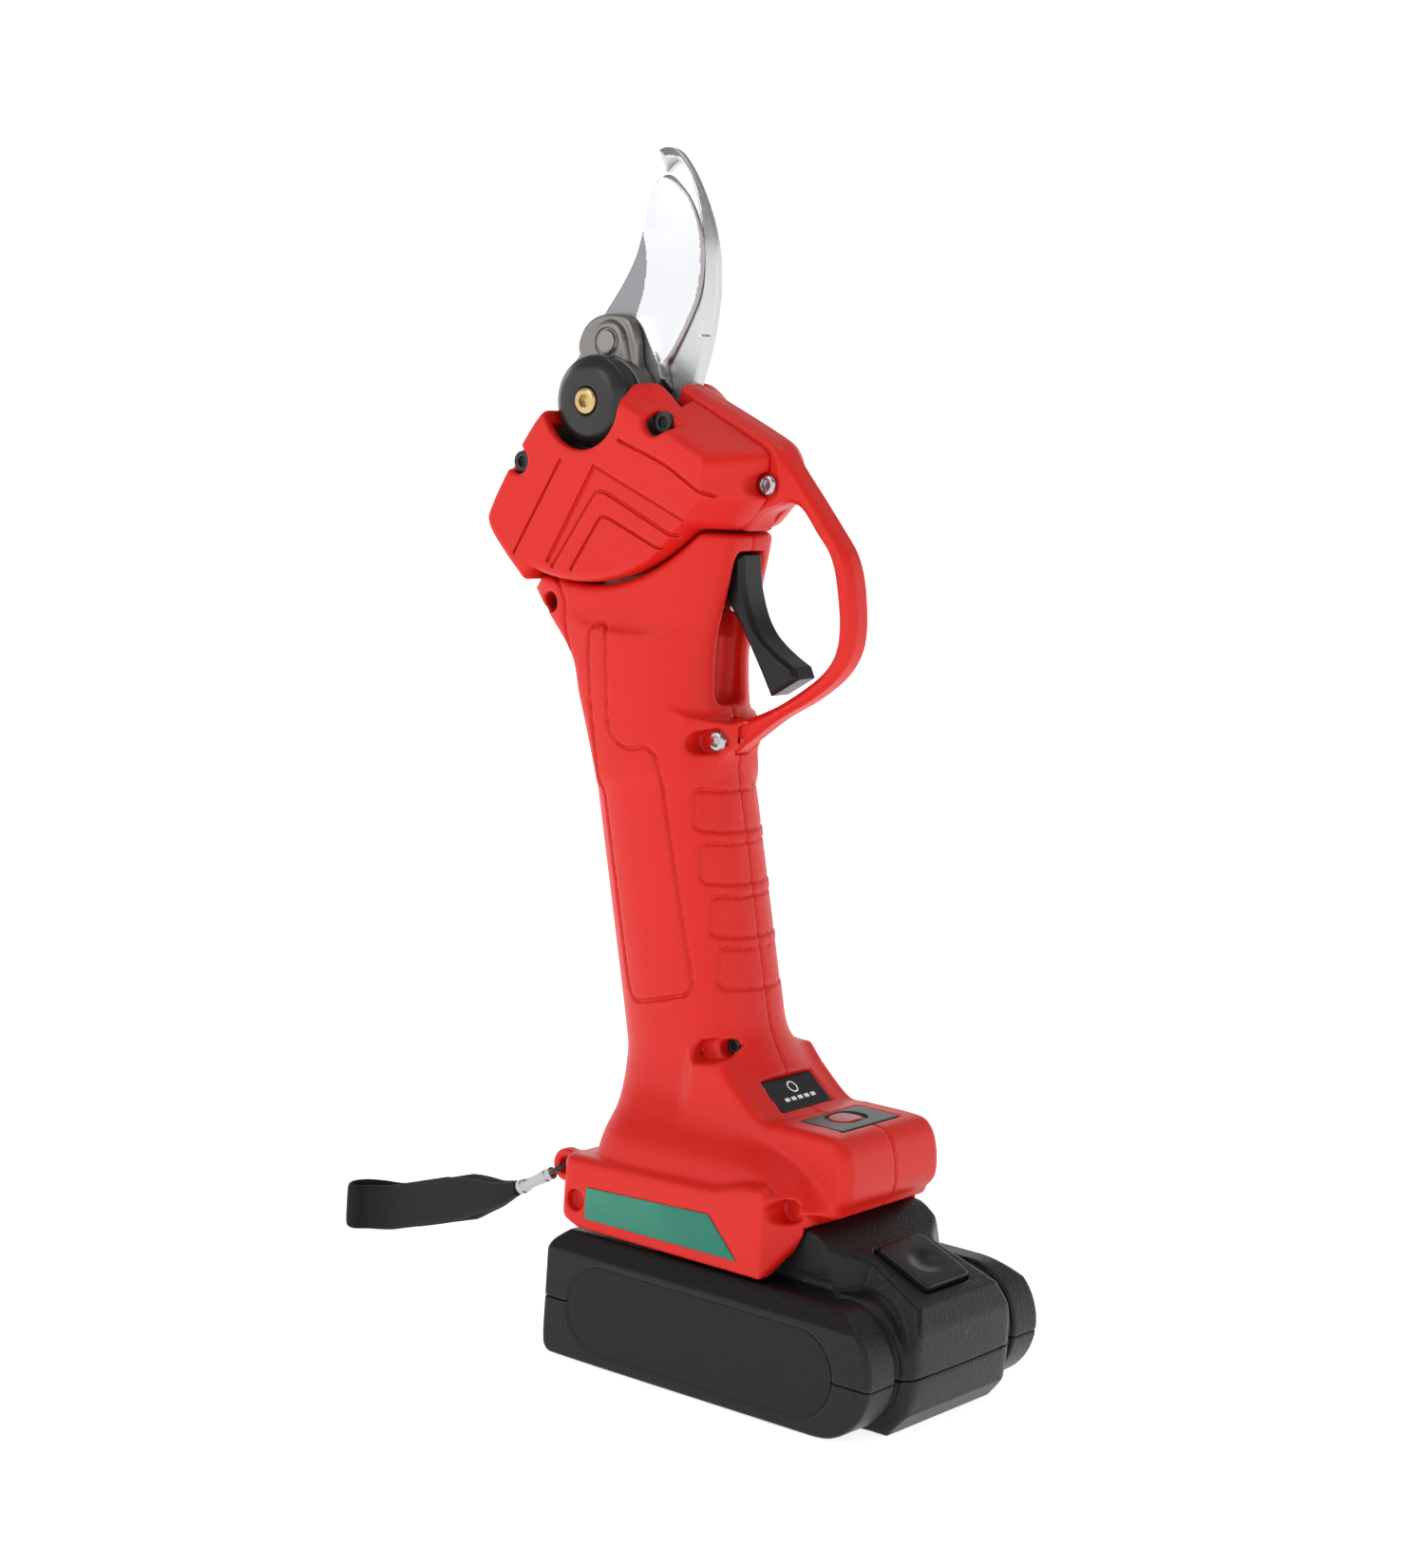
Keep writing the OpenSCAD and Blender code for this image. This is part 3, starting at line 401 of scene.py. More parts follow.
metal = partial(material, metallic=1.0)
# edge: how strong the painted highlight along sharp edges is
RED = material("red_plastic", (0.58, 0.009, 0.004), 0.42, spec=0.28, grain=950, bump=0.5, vary=0.05, edge=0.25)
BLACK = material("black_case", (0.0055, 0.0055, 0.0062), 0.4, spec=0.24, grain=1000, bump=0.9, vary=0.10, edge=0.35)
BLACK_SMOOTH = material("black_smooth", (0.007, 0.0065, 0.007), 0.33, spec=0.26, grain=2400, bump=0.12, edge=0.3)
PANEL = material("label_film", (0.0095, 0.0075, 0.0075), 0.5, spec=0.2, grain=3000, bump=0.12, vary=0.08)
TRIG = material("trigger_plastic", (0.006, 0.006, 0.0065), 0.3, spec=0.25, grain=2400, edge=0.25)
BLADE = metal("blade_polished", (0.66, 0.67, 0.69), 0.22, grain=60, brushed=(90, 10, 12), bump=0.05, vary=0.03,
              rough_vary=0.06, depth=0.00004)
# the flat's darker grey is painted shade: it stands in for the darker reflection the flat side shows next to the
# bevel; its brushed grain is the steel's own finish
BLADE_FLAT_PAINTED_SHADE = metal("blade_flat", (0.25, 0.255, 0.265), 0.36, grain=60, brushed=(70, 10, 70), bump=0.12, vary=0.12,
                   rough_vary=0.1, depth=0.00006)
BLADE_CUT = metal("blade_honed", (0.34, 0.31, 0.31), 0.3, grain=700, bump=0.2, vary=0.3, depth=0.00005)
HOOK = metal("hook_steel", (0.52, 0.53, 0.54), 0.3, grain=500, bump=0.22, vary=0.10, rough_vary=0.1, depth=0.00008)
CAST = metal("cast_steel", (0.215, 0.205, 0.19), 0.4, grain=700, bump=0.5, vary=0.12, rough_vary=0.12, edge=0.3)
DARK = material("blacked_steel", (0.028, 0.029, 0.031), 0.36, metallic=0.6, bump=0.18, vary=0.15, edge=0.5)
NUT_SATIN = material("nut_satin", (0.010, 0.010, 0.0105), 0.33, spec=0.45, grain=160, bump=0.12, vary=0.25, edge=0.3,
                     rough_vary=0.14, depth=0.0003)
CHROME = metal("bright_steel", (0.40, 0.40, 0.42), 0.2, bump=0.05)
BRASS = metal("brass", (0.52, 0.38, 0.18), 0.3, vary=0.1)
ALLOY = metal("alloy", (0.6, 0.61, 0.63), 0.38, grain=700, bump=0.2)
COPPER = metal("copper", (0.6, 0.3, 0.14), 0.35, grain=400, bump=0.4)
CIRCUIT = material("circuit", (0.02, 0.16, 0.06), 0.4, grain=500, bump=0.3, vary=0.2)
WIRE = material("wire_sleeve", (0.04, 0.16, 0.5), 0.45)
BUTTON = material("button_red", (0.36, 0.008, 0.008), 0.34, spec=0.22, grain=2500, bump=0.05)
WINDOW = material("window_gloss", (0.010, 0.009, 0.010), 0.24, spec=0.3, grain=2500, bump=0.04)
PLATE = material("plate_grey", (0.022, 0.020, 0.020), 0.4, spec=0.25, grain=2200)
CELL = material("cell_sleeve", (0.05, 0.18, 0.45), 0.3, grain=800, bump=0.05)
HOLDER = material("holder", (0.7, 0.7, 0.66), 0.5, grain=1200)
LED = material("led_bar", (0.75, 0.78, 0.74), 0.4, grain=2500, bump=0.05)
RUBBER = material("cord_black", (0.012, 0.012, 0.013), 0.6, grain=1500, bump=0.3)
WEB = material("webbing_black", (0.006, 0.006, 0.0065), 0.75, spec=0.2, grain=2600, bump=0.6, vary=0.3, rough_vary=0.1)
LABEL = label_material()
SLOT_MAT = {"red_shell": RED, "black_shell": BLACK, "trigger_black": TRIG, "panel": PANEL, "blade_steel": BLADE,
            "hook_steel": HOOK, "gear_steel": CAST, "black_steel": DARK, "bright_steel": CHROME, "brass": BRASS,
            "alloy": ALLOY, "copper": COPPER, "circuit": CIRCUIT, "wire": WIRE, "button_red": BUTTON,
            "window": WINDOW, "label_green": LABEL, "cell_blue": CELL, "holder_white": HOLDER, "webbing": RUBBER}
for entry in frame["record"]["subparts"]:
    part = frame["nodes"].get(entry["node"])
    if part is None:
        continue
    # the gear housing, alloy in the record, gets the dark blacked-steel material instead: painted shade, so where it
    # shows in the gap between head and handle it reads as shadowed
    look = DARK if entry["node"] == "gear_housing" else SLOT_MAT[entry["material_slot"]]
    if not part.material_slots:
        part.data.materials.append(look)
    for used in part.material_slots:
        used.material = look


# ------------------------------------------------------------------ head shells
HEAD_POCKETS = (((-44.4, 229), (-40.6, 231.6), 3.3, -14.6, 1.0), ((-86.5, 216.4), (-92, 219.5), 3.3, -17.4, 1.0),
                ((-19, 216.1), (-15, 217.8), 2.9, -5.15, 0.7))
HEAD_HOLES = ((-44, 229.2), (-86.5, 216.4))
GUARD_SCREWS = ((-19, 216.1), (-27.4, 153.2))


def sc(p):
    """The same points as sharp corners."""
    return [(a[0], a[1], 0) for a in p]


HEAD = Flat(resample([
    (-83, 187, 0), (-89.3, 192.6), (-94.6, 198.2), (-95.9, 202.3), (-90.0, 214.4), (-81.6, 227.3), (-76.3, 231.4),
    (-62, 236.4), (-50, 238.6, 0), (-21.5, 225.8), (-14, 222.4, 0), (-14, 204.0, 0),
    (-32.4, 204.5, 0)] + sc(circle_pts(PIVOT, 44.2, -40.3, -107, 12)), 0.6))
HEAD_PLAN = Flat(resample([(-120, -8, 0), (-120, 20, 0), (-35.6, 20, 0), (-33.6, 17.8), (-30.6, 14.2),
                           (-28.2, 10.6), (-26.8, 7.2), (-26.1, 3.6), (-26.0, 0), (-26.0, -8, 0)], 0.6), margin=8)
HEAD_IN = Flat([(-80.5, 193), (-88, 195), (-93.3, 200.5), (-93.4, 202.4), (-88.3, 213.2), (-80.3, 225.2), (-62, 231.6),
                (-52, 232.4), (-30, 223), (-25, 220), (-25, 211), (-33.5, 207), (-40, 199.5), (-49, 194.2),
                (-58, 191.5), (-70, 191)], blur=0.5)
SPINE = Flat([(-49.2, 225), (-49.2, 243), (-10, 230), (-10, 202), (-32.2, 202), (-32.2, 218.2), (-44, 225)])
TOPEN = Flat([(-94, 223), (-46.5, 223), (-46.5, 246), (-94, 246)])


def lines(*runs):
    """The distance to the nearest of several open lines."""
    flats = [Flat(resample(r, 0.4, closed=False), closed=False, margin=3.0) for r in runs]
    return lambda u, v: either(*(g(u, v) for g in flats))


HEAD_LINES = lines(
    [(-72.5, 217.7), (-85.9, 193.6)],
    [(-75, 192.7, 0), (-61.8, 217.2, 0), (-33.8, 206.8, 0)],
    [(-73.3, 191.4, 0), (-62.2, 208.6), (-60.2, 211), (-57.2, 210.8), (-36, 202.3, 0)],
    [(-67.2, 191.3, 0), (-59.8, 203.2), (-58.2, 205), (-55.6, 204.8), (-40.2, 199.1, 0)],
    [(-54.5, 224), (-40, 219.4), (-28.9, 213.9), (-20, 211.2)])
HEAD_STEP = Flat([(-61.8, 217.2), (-33.8, 206.8), (-36, 202.1), (-57.2, 210.8), (-60.2, 211), (-73.3, 191.4),
                  (-75, 192.7)])
# the head's sloping shoulder: how it falls to the front (A) and to the side (B)
SA, CA = math.sin(math.radians(22.8)), math.cos(math.radians(22.8))
SB, CB = math.sin(math.radians(21.8)), math.cos(math.radians(21.8))


def tool(x, z):
    """Coordinates across and along the handle's leaning axis, from the pivot."""
    return turn(x - PX, z - PZ, -LEAN)


def gear_way(x, y, z):
    """The round passage for the gear train, and its coordinate along the axis."""
    u, w = tool(x, z)
    return both(np.hypot(u, y * 1.13) - 13.9, slab(w, -62, -36)), w


def slot_pocket(x, y, z, p, q, r, y_floor, y_front=OPEN):
    """A round-ended pocket from p to q, open towards the near side."""
    e = np.array([q[0] - p[0], q[1] - p[1]])
    L2 = float(e @ e)
    t = np.clip(((x - p[0]) * e[0] + (z - p[1]) * e[1]) / max(L2, 1e-6), 0, 1)
    d2 = np.hypot(x - p[0] - t * e[0], z - p[1] - t * e[1]) - r
    return both(d2, slab(y, y_front, y_floor))


def pockets(d, x, y, z, rows):
    for p, q, r, floor_y, k in rows:
        d = cut(d, slot_pocket(x, y, z, p, q, r, floor_y), k)
    return d


def head(side):
    def f(x, y, z):
        ya = np.abs(y)
        plan = HEAD_PLAN(x - 0.85 * np.clip(z - 204, -12, 8.5), ya) * 0.78
        d = smax(HEAD(x, z), plan, 2.4)
        sh = CB * SA * (x + 50) + SB * (ya - 5) + CB * CA * (z - 237.9)
        sh = sh - 2.5 * (1 - sstep(-51, -42, x)) * (1 - sstep(10, 17, ya))
        d = smax(d, sh, 2.6)
        # engraved lines, and the sunk field between them
        g = HEAD_LINES(x, z)
        deep = ya - 16.5
        groove = both(g - 0.4, -deep)
        st = both(HEAD_STEP(x, z) + 0.15, -deep)
        base = d
        d = smax(d, either(base + 0.3, -st), 0.2)
        d = smax(d, either(base + 0.75, -groove), 0.18)
        hollow = both(HEAD_IN(x, z), ya - 17.6, plan + 2.4)
        d = cut(d, both(hollow, sh + 2.4))
        # blade slot and guard seat
        rr = dist(x, z, PIVOT)
        d = cut(d, both(either(rr - 24, TOPEN(x, z)), slab(y, -9.9, 6.4)), 0.8)
        d = cut(d, both(SPINE(x, z), ya - 5.25))
        d = cut(d, gear_way(x, y, z)[0])
        if side < 0:
            d = cut(d, both(rr - 11.85, y + 9), 1.0)
            d = pockets(d, x, y, z, HEAD_POCKETS)
            d = both(d, y + SEAM)
        else:
            d = cut(d, both(rr - 9.8, 6.0 - y), 1.2)
            d = cut(d, both(rr - 12.4, slab(y, 5, 9.3)))
            d = both(d, SEAM - y)
        for c in HEAD_HOLES:
            d = both(d, 1.6 - dist(x, z, c))
        return d
    return f


# ------------------------------------------------------------------ finger guard
GUARD = Flat(resample([
    (-47.7, 237.7, 0), (-20, 226.2), (-11, 217.6), (-1.3, 207), (3.3, 201.4), (5.8, 195), (7.2, 186), (7, 180),
    (5.2, 175.2), (1.8, 170.8), (-5, 165.3), (-14, 159.6), (-23.5, 152), (-27, 149.5), (-33, 151, 0),
    (-33, 158.2, 0), (-24.5, 158.6), (-16, 162.2), (-9.4, 166.3), (-2.6, 171.6), (0.7, 175.8), (2.1, 180),
    (2.1, 185.6), (1, 192), (-0.4, 197.4), (-2.4, 201.4), (-6.5, 206), (-10.2, 210.3), (-13, 211.9),
    (-17.0, 211.7), (-20.6, 210.1), (-24, 208, 0), (-26, 215.9, 0), (-26, 223.5), (-48.9, 233.2, 0)], 0.5))
SPINE_TOP = Flat(resample([
    (-47.7, 237.7, 0), (-20, 226.2), (-16.6, 222.2), (-15.4, 214.6), (-16.8, 211.8), (-20.4, 210.2), (-23.2, 208.2),
    (-24.8, 204.4, 0), (-32, 204.6, 0), (-32, 218, 0), (-26, 223.5, 0), (-48.9, 233.2, 0)], 0.5))


def bar(x, y, z):
    """The guard's bar, with 45 degree chamfers."""
    q, t = GUARD(x, z), np.abs(y) - 3.7
    return smax(rounded(q, t, 0.5), (q + t) * 0.707 + 1.0, 0.35)


def guard(x, y, z):
    a = bar(x, y, z)
    b = rounded(SPINE_TOP(x, z), np.abs(y) - 5.0, 0.8)
    d = smin(a, b, 2.0)
    d = cut(d, slot_pocket(x, y, z, GUARD_SCREWS[0], GUARD_SCREWS[0], 2.7, -5.15, -9), 0.4)
    for c in GUARD_SCREWS:
        d = both(d, 1.3 - dist(x, z, c))
    return d


# ------------------------------------------------------------------ handle shells
def table(rows, blur):
    """Section values by height, blurred along the height."""
    zs = np.arange(20, 240, 0.5)
    R = np.array(rows, float)
    out = [np.interp(zs, R[:, 0], R[:, i]) for i in range(1, R.shape[1])]
    k = int(blur / 0.5)
    g = np.exp(-0.5 * (np.arange(-3 * k, 3 * k + 1) / k) ** 2)
    g /= g.sum()
    return zs, [np.convolve(np.pad(o, 3 * k, mode="edge"), g, "valid").astype(f32) for o in out]


def ax_x(z):
    """The handle's axis at this height."""
    return PX + (PZ - z) * TILT


GZ, GRIP = table([(46, -10, 35.2, 30.4, 6), (50, -12, 34, 30, 6), (56, -14.5, 31.5, 28, 5), (61, -19, 27.5, 23, 4),
                  (67, -24.5, 24, 18.8, 3.2), (74, -28.2, 21.8, 16.9, 2.6)]
                 + [(z, ax_x(z) + 0.2, 20.6 if z < 140 else 20.3, 16.5, 2.4) for z in range(84, 200, 6)], 1.6)
UPPER = Flat(resample([(-66.2, 160, 0), (-69.2, 169.4), (-79.4, 179.2), (-85.4, 184.7), (-83.9, 185.9, 0)]
             + sc(circle_pts(PIVOT, 44.9, -106, -41, 12))
             + [(-32.2, 203.6, 0), (-20.6, 203.2, 0), (-20.6, 196), (-21, 184), (-22.0, 172), (-22.6, 163),
                (-24.6, 154, 0), (-30, 146, 0), (-58, 140, 0)], 0.6))
UPPER_IN = Flat([(-67, 155), (-68.8, 168.5), (-76, 177.2), (-78.8, 184.6), (-60, 184), (-45, 188.5), (-36, 196),
                 (-31.5, 200.4), (-29, 200.4), (-29.5, 190), (-30.4, 176), (-30.8, 165), (-32, 155)])
DECK = Flat(resample([(-22, 47, 0), (18.6, 44.9, 0), (20.6, 44.9), (27.4, 50.6), (28.2, 56), (26.6, 62.6),
                      (22.8, 65.9), (7, 66.2), (1.0, 66.4), (-7.2, 72.9), (-12, 78, 0), (-22, 78, 0)], 0.6))
DECK_IN = Flat([(-20, 49), (20, 49), (25, 53), (25.6, 57), (24, 61.6), (21.4, 63.4), (0.6, 63.8), (-8.6, 70.8),
                (-20, 71.2)])
FOOT = Flat(resample([(-48.6, -30.6), (-47, -32, 0), (12.8, -32, 0), (19.4, -22.6, 0), (19.4, 22.6, 0),
                      (12.8, 32, 0), (-47, 32, 0), (-48.6, 30.6)], 0.6))
FOOT_IN = Flat([(-45.8, -29.8), (11.6, -29.8), (17.2, -21.2), (17.2, 21.2), (11.6, 29.8), (-45.8, 29.8)])
PANEL_LINE = lines(
    [(-80.8, 188.6), (-75.6, 187.6), (-72.2, 183.2), (-71.4, 177), (-69.4, 171.4)],
    [(-61, 178.3), (-58.6, 178.9), (-57.2, 177.4), (-54.6, 154.6), (-51.2, 150.4), (-47.4, 149.4), (-42.6, 150.2),
     (-39.3, 147.6), (-35.9, 133.9), (-29, 108.2), (-25.4, 94.6), (-26.2, 91.6), (-28.6, 90.6), (-40.6, 87.2),
     (-43.8, 88.4), (-46.4, 96), (-53, 122.9), (-59.4, 150), (-61.4, 162), (-62.6, 176), (-61, 178.3)])
BOSS = Flat(resample([(-40, 159.4, 0), (-26, 157.6), (-22.2, 158.8), (-20.6, 158.2), (-22.6, 153.6), (-26.6, 149.4),
                      (-30.2, 143, 0), (-40, 138, 0)], 0.5))
SEAT = Flat([(-41.0, 34.6), (6.5, 34.8), (-3.1, 44.75), (-41.0, 43.0)], margin=2)
SLOT = Flat([(-38.5, 184), (-35, 177), (-15, 177), (-15, 199.2), (-35, 199.2), (-38.5, 196.5)])
HANDLE_SCREW = (-77.4, 182)
REAR_FOOT_POCKET = ((-44.2, 38.7), (-44.2, 38.7), 2.7, -29.4, 0.6)
TEAR = (-15.0, 79.7)                # the teardrop pocket above the foot
HANDLE_POCKETS = ((HANDLE_SCREW, HANDLE_SCREW, 2.6, -9.2, 0.8), (GUARD_SCREWS[1], (-30.2, 152.6), 2.9, -7.7, 0.7),
                  (TEAR, (-19.6, 78.7), 2.5, -13.2, 1.0), (TEAR, TEAR, 2.2, -8.6, 0.5), REAR_FOOT_POCKET,
                  ((16.0, 48.3), (16.0, 48.3), 3.0, -23.2, 0.9))
# posts inside the shell: centre, radius and how far in they reach
POSTS = (((16.4, 48.4), 4.8, 18.0), ((-45.3, 38.7), 4.8, 26.0), ((-17.4, 79.2), 5.4, 6.4), ((-28.8, 152.9), 5.6, 5.6))
EYE = (-50.2, 45.6)                 # the strap's eye
PADS = ((141.2, -30.6), (128.6, -27.6), (115.9, -23.9), (103.5, -20.6))
PAD_HALF, PAD_CORNER = 4.75, 1.6
DISPLAY, DISPLAY_DEG = (-2.9, 69.2), 38


UP = table([(z, (f + r) / 2, (f - r) / 2, 16.6, n) for z, f, r, n in (
    (130, -24.6, -66, 2.4), (146, -28.6, -70, 2.5), (154, -31.0, -73, 2.5), (162, -32.0, -78, 2.6),
    (172, -31.6, -84, 2.7), (181, -30.0, -88, 2.9), (190, -28.0, -92, 3.1), (198, -26.8, -96, 3.3),
    (206, -25.8, -98, 3.4))], 2.0)[1]


def pads(x, z):
    """Signed distance to the outlines of the four finger pads, which run round the front."""
    outlines = []
    for top, left in PADS:
        lx = left + TILT * (top - z) * 0.6
        rx = ax_x(z) + 40
        across = np.abs(x - (lx + rx) * 0.5) - (rx - lx) * 0.5
        up = np.abs(z - (top - PAD_HALF) + (x - left) * 0.06) - PAD_HALF
        outlines.append(rounded(across, up, PAD_CORNER))
    return either(*outlines)


def display_frame(x, z):
    return turn(x - DISPLAY[0], z - DISPLAY[1], DISPLAY_DEG)


def grip_sdf(x, y, z, rows=GRIP):
    """Distance to a lofted superellipse: centre, half depth, half width and exponent by height."""
    zi = np.clip((z - GZ[0]) / 0.5, 0, len(GZ) - 1.001)
    i = zi.astype(np.int32)
    t = zi - i
    cx, a, b, n = [g[i] * (1 - t) + g[i + 1] * t for g in rows]
    u, v = np.abs(x - cx) / a + 1e-4, np.abs(y) / b + 1e-4
    un, vn = u ** (n - 1), v ** (n - 1)
    s = (un * u + vn * v) ** (1 / n)
    k = s ** (1 - n)
    gx, gy = k * un / a, k * vn / b
    return (s - 1) / np.sqrt(gx * gx + gy * gy + 1e-5)


def handle(side):
    def f(x, y, z):
        ya = np.abs(y)
        g = grip_sdf(x, y, z)
        grip = smax(g * 0.93, both(48 - z, z - 176), 1.0)
        up = smax(rounded(UPPER(x, z), ya - 16.5, 2.6), grip_sdf(x, y, z, UP) * 0.93, 2.0)
        d = smin(grip, up, 5.0)
        boss = both(BOSS(x, z), (ya - 4.2 - np.clip(-23.6 - x, 0, 9.4) * 1.0) * 0.7)
        d = smin(d, boss, 2.6)
        deck = rounded(DECK(x, z), ya - 19.8, 3.2)
        d = smin(d, deck, 4.0)
        topz = 49.6 + (x + 47) * 0.036 + 2.2 * sstep(-4, 8, x) - 2.6 * sstep(10.5, 16, x)
        flange = smax(FOOT(x, y), z - topz + 0.35 * np.maximum(ya - 29.5, 0), 1.7)
        d = smin(d, flange, 1.0)
        # the underside, its raised front and its cut rear corner
        d = smax(d, 32 - z, 0.8)
        front = ((x - 12.7) * 13.4 - (z - 31.4) * 7.6) / 15.4
        d = smax(d, np.where(z < 46, either(front, 45.0 - z), -5.0), 0.6)
        d = smax(d, ((-47.6 - x) * 2.6 + (33.9 - z) * 5.6) / 6.2, 0.8)
        ring = rounded(np.hypot(x + 50.4, z - 45.6) - 4.2, slab(y, -28.8, -25.2), 0.9)
        d = smin(d, ring, 1.2)
        outer = d
        # grooves
        p = PANEL_LINE(x, z)
        gr = both(p - 0.42, 8.5 - ya)
        d = smax(d, either(outer + 0.7, -gr), 0.2)
        pd = pads(x, z)
        d = smax(d, either(outer + 0.65, 0.38 - np.abs(pd)), 0.2)
        d = smax(d, either(outer + 0.2, -(pd + 0.3)), 0.2)
        # the joint line between the halves reads as a fine vee
        d = smax(d, either(outer + 0.35, 0.34 - ya), 0.25)
        # the green label's shallow seat
        d = smax(d, either(ya - 31.86, -SEAT(x, z)), 0.1)
        # hollow
        inner = both(g * 0.93 + 2.3, 50 - z, z - 176)
        inner = either(inner, both(UPPER_IN(x, z), ya - 14.2, grip_sdf(x, y, z, UP) + 2.6))
        inner = either(inner, both(DECK_IN(x, z), ya - 17.2))
        inner = either(inner, both(FOOT_IN(x, y), slab(z, 30, 48)))
        inner = both(inner, either(x + 38.2, 7.6 - ya, z - 157))
        for c, r, yc in POSTS:
            inner = both(inner, either(r - dist(x, z, c), ya - yc))
        inner = both(inner, np.where(z < 46, -9.0, outer + 1.4))
        d = cut(d, inner)
        d = cut(d, both(ya - 22.9, slab(x, -24.4, 60), slab(z, 30, 44.2)))
        # trigger recess and slot, guard tab, gear passage
        chan = smax(smax(-35.2 - x, ya - 5.5, 2.0), slab(z, 161.4, 198.8), 3.0)
        d = cut(d, chan, 1.2)
        d = cut(d, both(SLOT(x, z), ya - 4.9))
        d = both(d, 0.06 - bar(x, y, z))
        way, w = gear_way(x, y, z)
        d = cut(d, both(way, np.where(w < -46, outer + 1.4, -9.0)))
        # screw pockets
        if side < 0:
            d = pockets(d, x, y, z, HANDLE_POCKETS)
            d = both(d, y + SEAM)
        else:
            d = pockets(d, x, -y, z, (REAR_FOOT_POCKET,))
            d = both(d, SEAM - y)
        d = both(d, 2.2 - dist(x, z, EYE) - 50 * (y > -20))
        for c in (HANDLE_SCREW, GUARD_SCREWS[1]):
            d = both(d, 1.3 - dist(x, z, c) - 40.0 * (ya > 13))
        # openings for the display and the power plate
        ux, uz = display_frame(x, z)
        d = cut(d, np.maximum(rounded(both(np.abs(ux) - 4.95, ya - 10.35), slab(uz, -4, 4), 0.0), -8))
        d = cut(d, both(np.abs(x - 13.9) - 6.4, ya - 12.1, slab(z, 62, 70)))
        return d
    return f


# ------------------------------------------------------------------ blades and pivot
def rel(pts):
    return [(PX + p[0], PZ + p[1]) + tuple(p[2:]) for p in pts]


HOOK_OUT = [(12, -6, 0), (18.2, -1), (19.3, 4), (20.9, 9.5), (22.5, 16), (23.6, 25.2), (23.4, 33), (22.0, 40.5),
            (19, 48), (14.9, 55.1), (11.2, 59.7), (8.3, 62), (5.2, 62.6), (2.6, 61.8, 0), (3.4, 60.4), (4.9, 57.9),
            (5.6, 56.2, 0), (8, 58.4), (9.6, 59.2, 0), (12.7, 56.4), (15.3, 51), (17.1, 44), (17.7, 37), (17.4, 30),
            (15.6, 23), (12.4, 16.6), (7, 11, 0)]
HOOK_2D = Flat(resample(rel(HOOK_OUT), 0.4), step=0.12)
HOOK_ROOT = Flat(resample(rel([(6, -11), (16.4, -6), (19, 3), (7, 11.5)]), 0.5))
EDGE = [(12.7, 6.4, 0), (11.7, 9.3), (13.2, 12), (15.8, 16.8), (18.3, 22), (20.2, 26.9), (21, 33.1), (20.4, 40),
        (18.7, 45.4), (15.6, 50.4), (11.6, 54.2), (8.8, 55.8)]
BACK = [(6.9, 54.8), (5, 51.8), (3.7, 48.1), (2.9, 42.3), (1.2, 35.8), (-2.4, 28.9), (-7.9, 20.9), (-9.8, 17.5),
        (-12.6, 8)]
BLADE_2D = Flat(resample(rel(EDGE + BACK + [(-6, 0), (6, 0)]), 0.4), step=0.12)
EDGE_2D = Flat(resample(rel(EDGE), 0.4, closed=False), closed=False, step=0.12, margin=14)
BEVEL_2D = Flat(resample(rel([(7.2, 58), (4.4, 51.8), (3.6, 46), (3.3, 42.3), (4.7, 37.1), (5.1, 33.2),
                              (4.6, 26.9), (2.6, 20.8, 0), (5, 18.4), (8, 14.0), (12.9, 6.6, 0), (26, 8, 0),
                              (30, 40), (20, 60)]), 0.5), step=0.12, margin=20)


def hook(x, y, z):
    d2 = HOOK_2D(x, z)
    d = rounded(d2, slab(y, 0, 4), 0.25)
    bevel = (d2 + 2.3) * 0.62 - y * 0.78
    d = smax(d, bevel * (z > 250) - 30 * (z <= 250), 0.15)
    r = dist(x, z, PIVOT)
    d = either(d, rounded(either(r - 13.6, HOOK_ROOT(x, z)), slab(y, 0, 5.5), 0.3))
    d = both(d, 5.02 - r)
    for a in (-60, -135):
        c = (PX + 10 * math.cos(math.radians(a)), PZ + 10 * math.sin(math.radians(a)))
        d = both(d, 1.65 - dist(x, z, c))
    return d


def blade(x, y, z):
    d2 = BLADE_2D(x, z)
    e = EDGE_2D(x, z)
    b = np.maximum(-BEVEL_2D(x, z), 0)
    t = b / (b + e + 0.3)
    rise = 2.35 * t + np.maximum(1.1 - e, 0) * 0.28
    near = -3.2 + rise
    d = both(d2, (near - y) * 0.97, y + 0.1)
    r = dist(x, z, PIVOT)
    d = either(d, both(r - 14, slab(y, -3.2, -0.1)))
    # light rounding along the back edge
    d = smax(d, (d2 + (-3.2 - y)) * 0.707 + 0.35, 0.25)
    d = both(d, 5.05 - r)
    d = both(d, 2.02 - np.hypot(x - PX + 1.6, z - PZ - 14.6))
    return d


ARM_A = Flat(resample(rel(circle_pts((0, 0), 12.6, -60, 20, 8) + [(6.6, 5), (5.1, 10.2), (3.4, 16.0)]
             + circle_pts((-1.8, 14.3), 5.3, 12, 160, 9) + [(-10.4, 10.9), (-13.1, 7.2)]
             + circle_pts((0, 0), 13.4, 160, 240, 8)), 0.4))
ARM_B = Flat(resample(rel([(9.6, 5.6), (6.9, 9.4), (5.6, 16.0), (2.8, 20.4), (-2.9, 21.3), (-8, 20.0), (-11.4, 16.8),
                           (-12.4, 11.6), (-6, 2, 0), (4, 2, 0)]), 0.4))


# the crown sector on the arm: its teeth stand every GEAR_STEP degrees
GEAR_STEP, DEG = 6, 0.01745


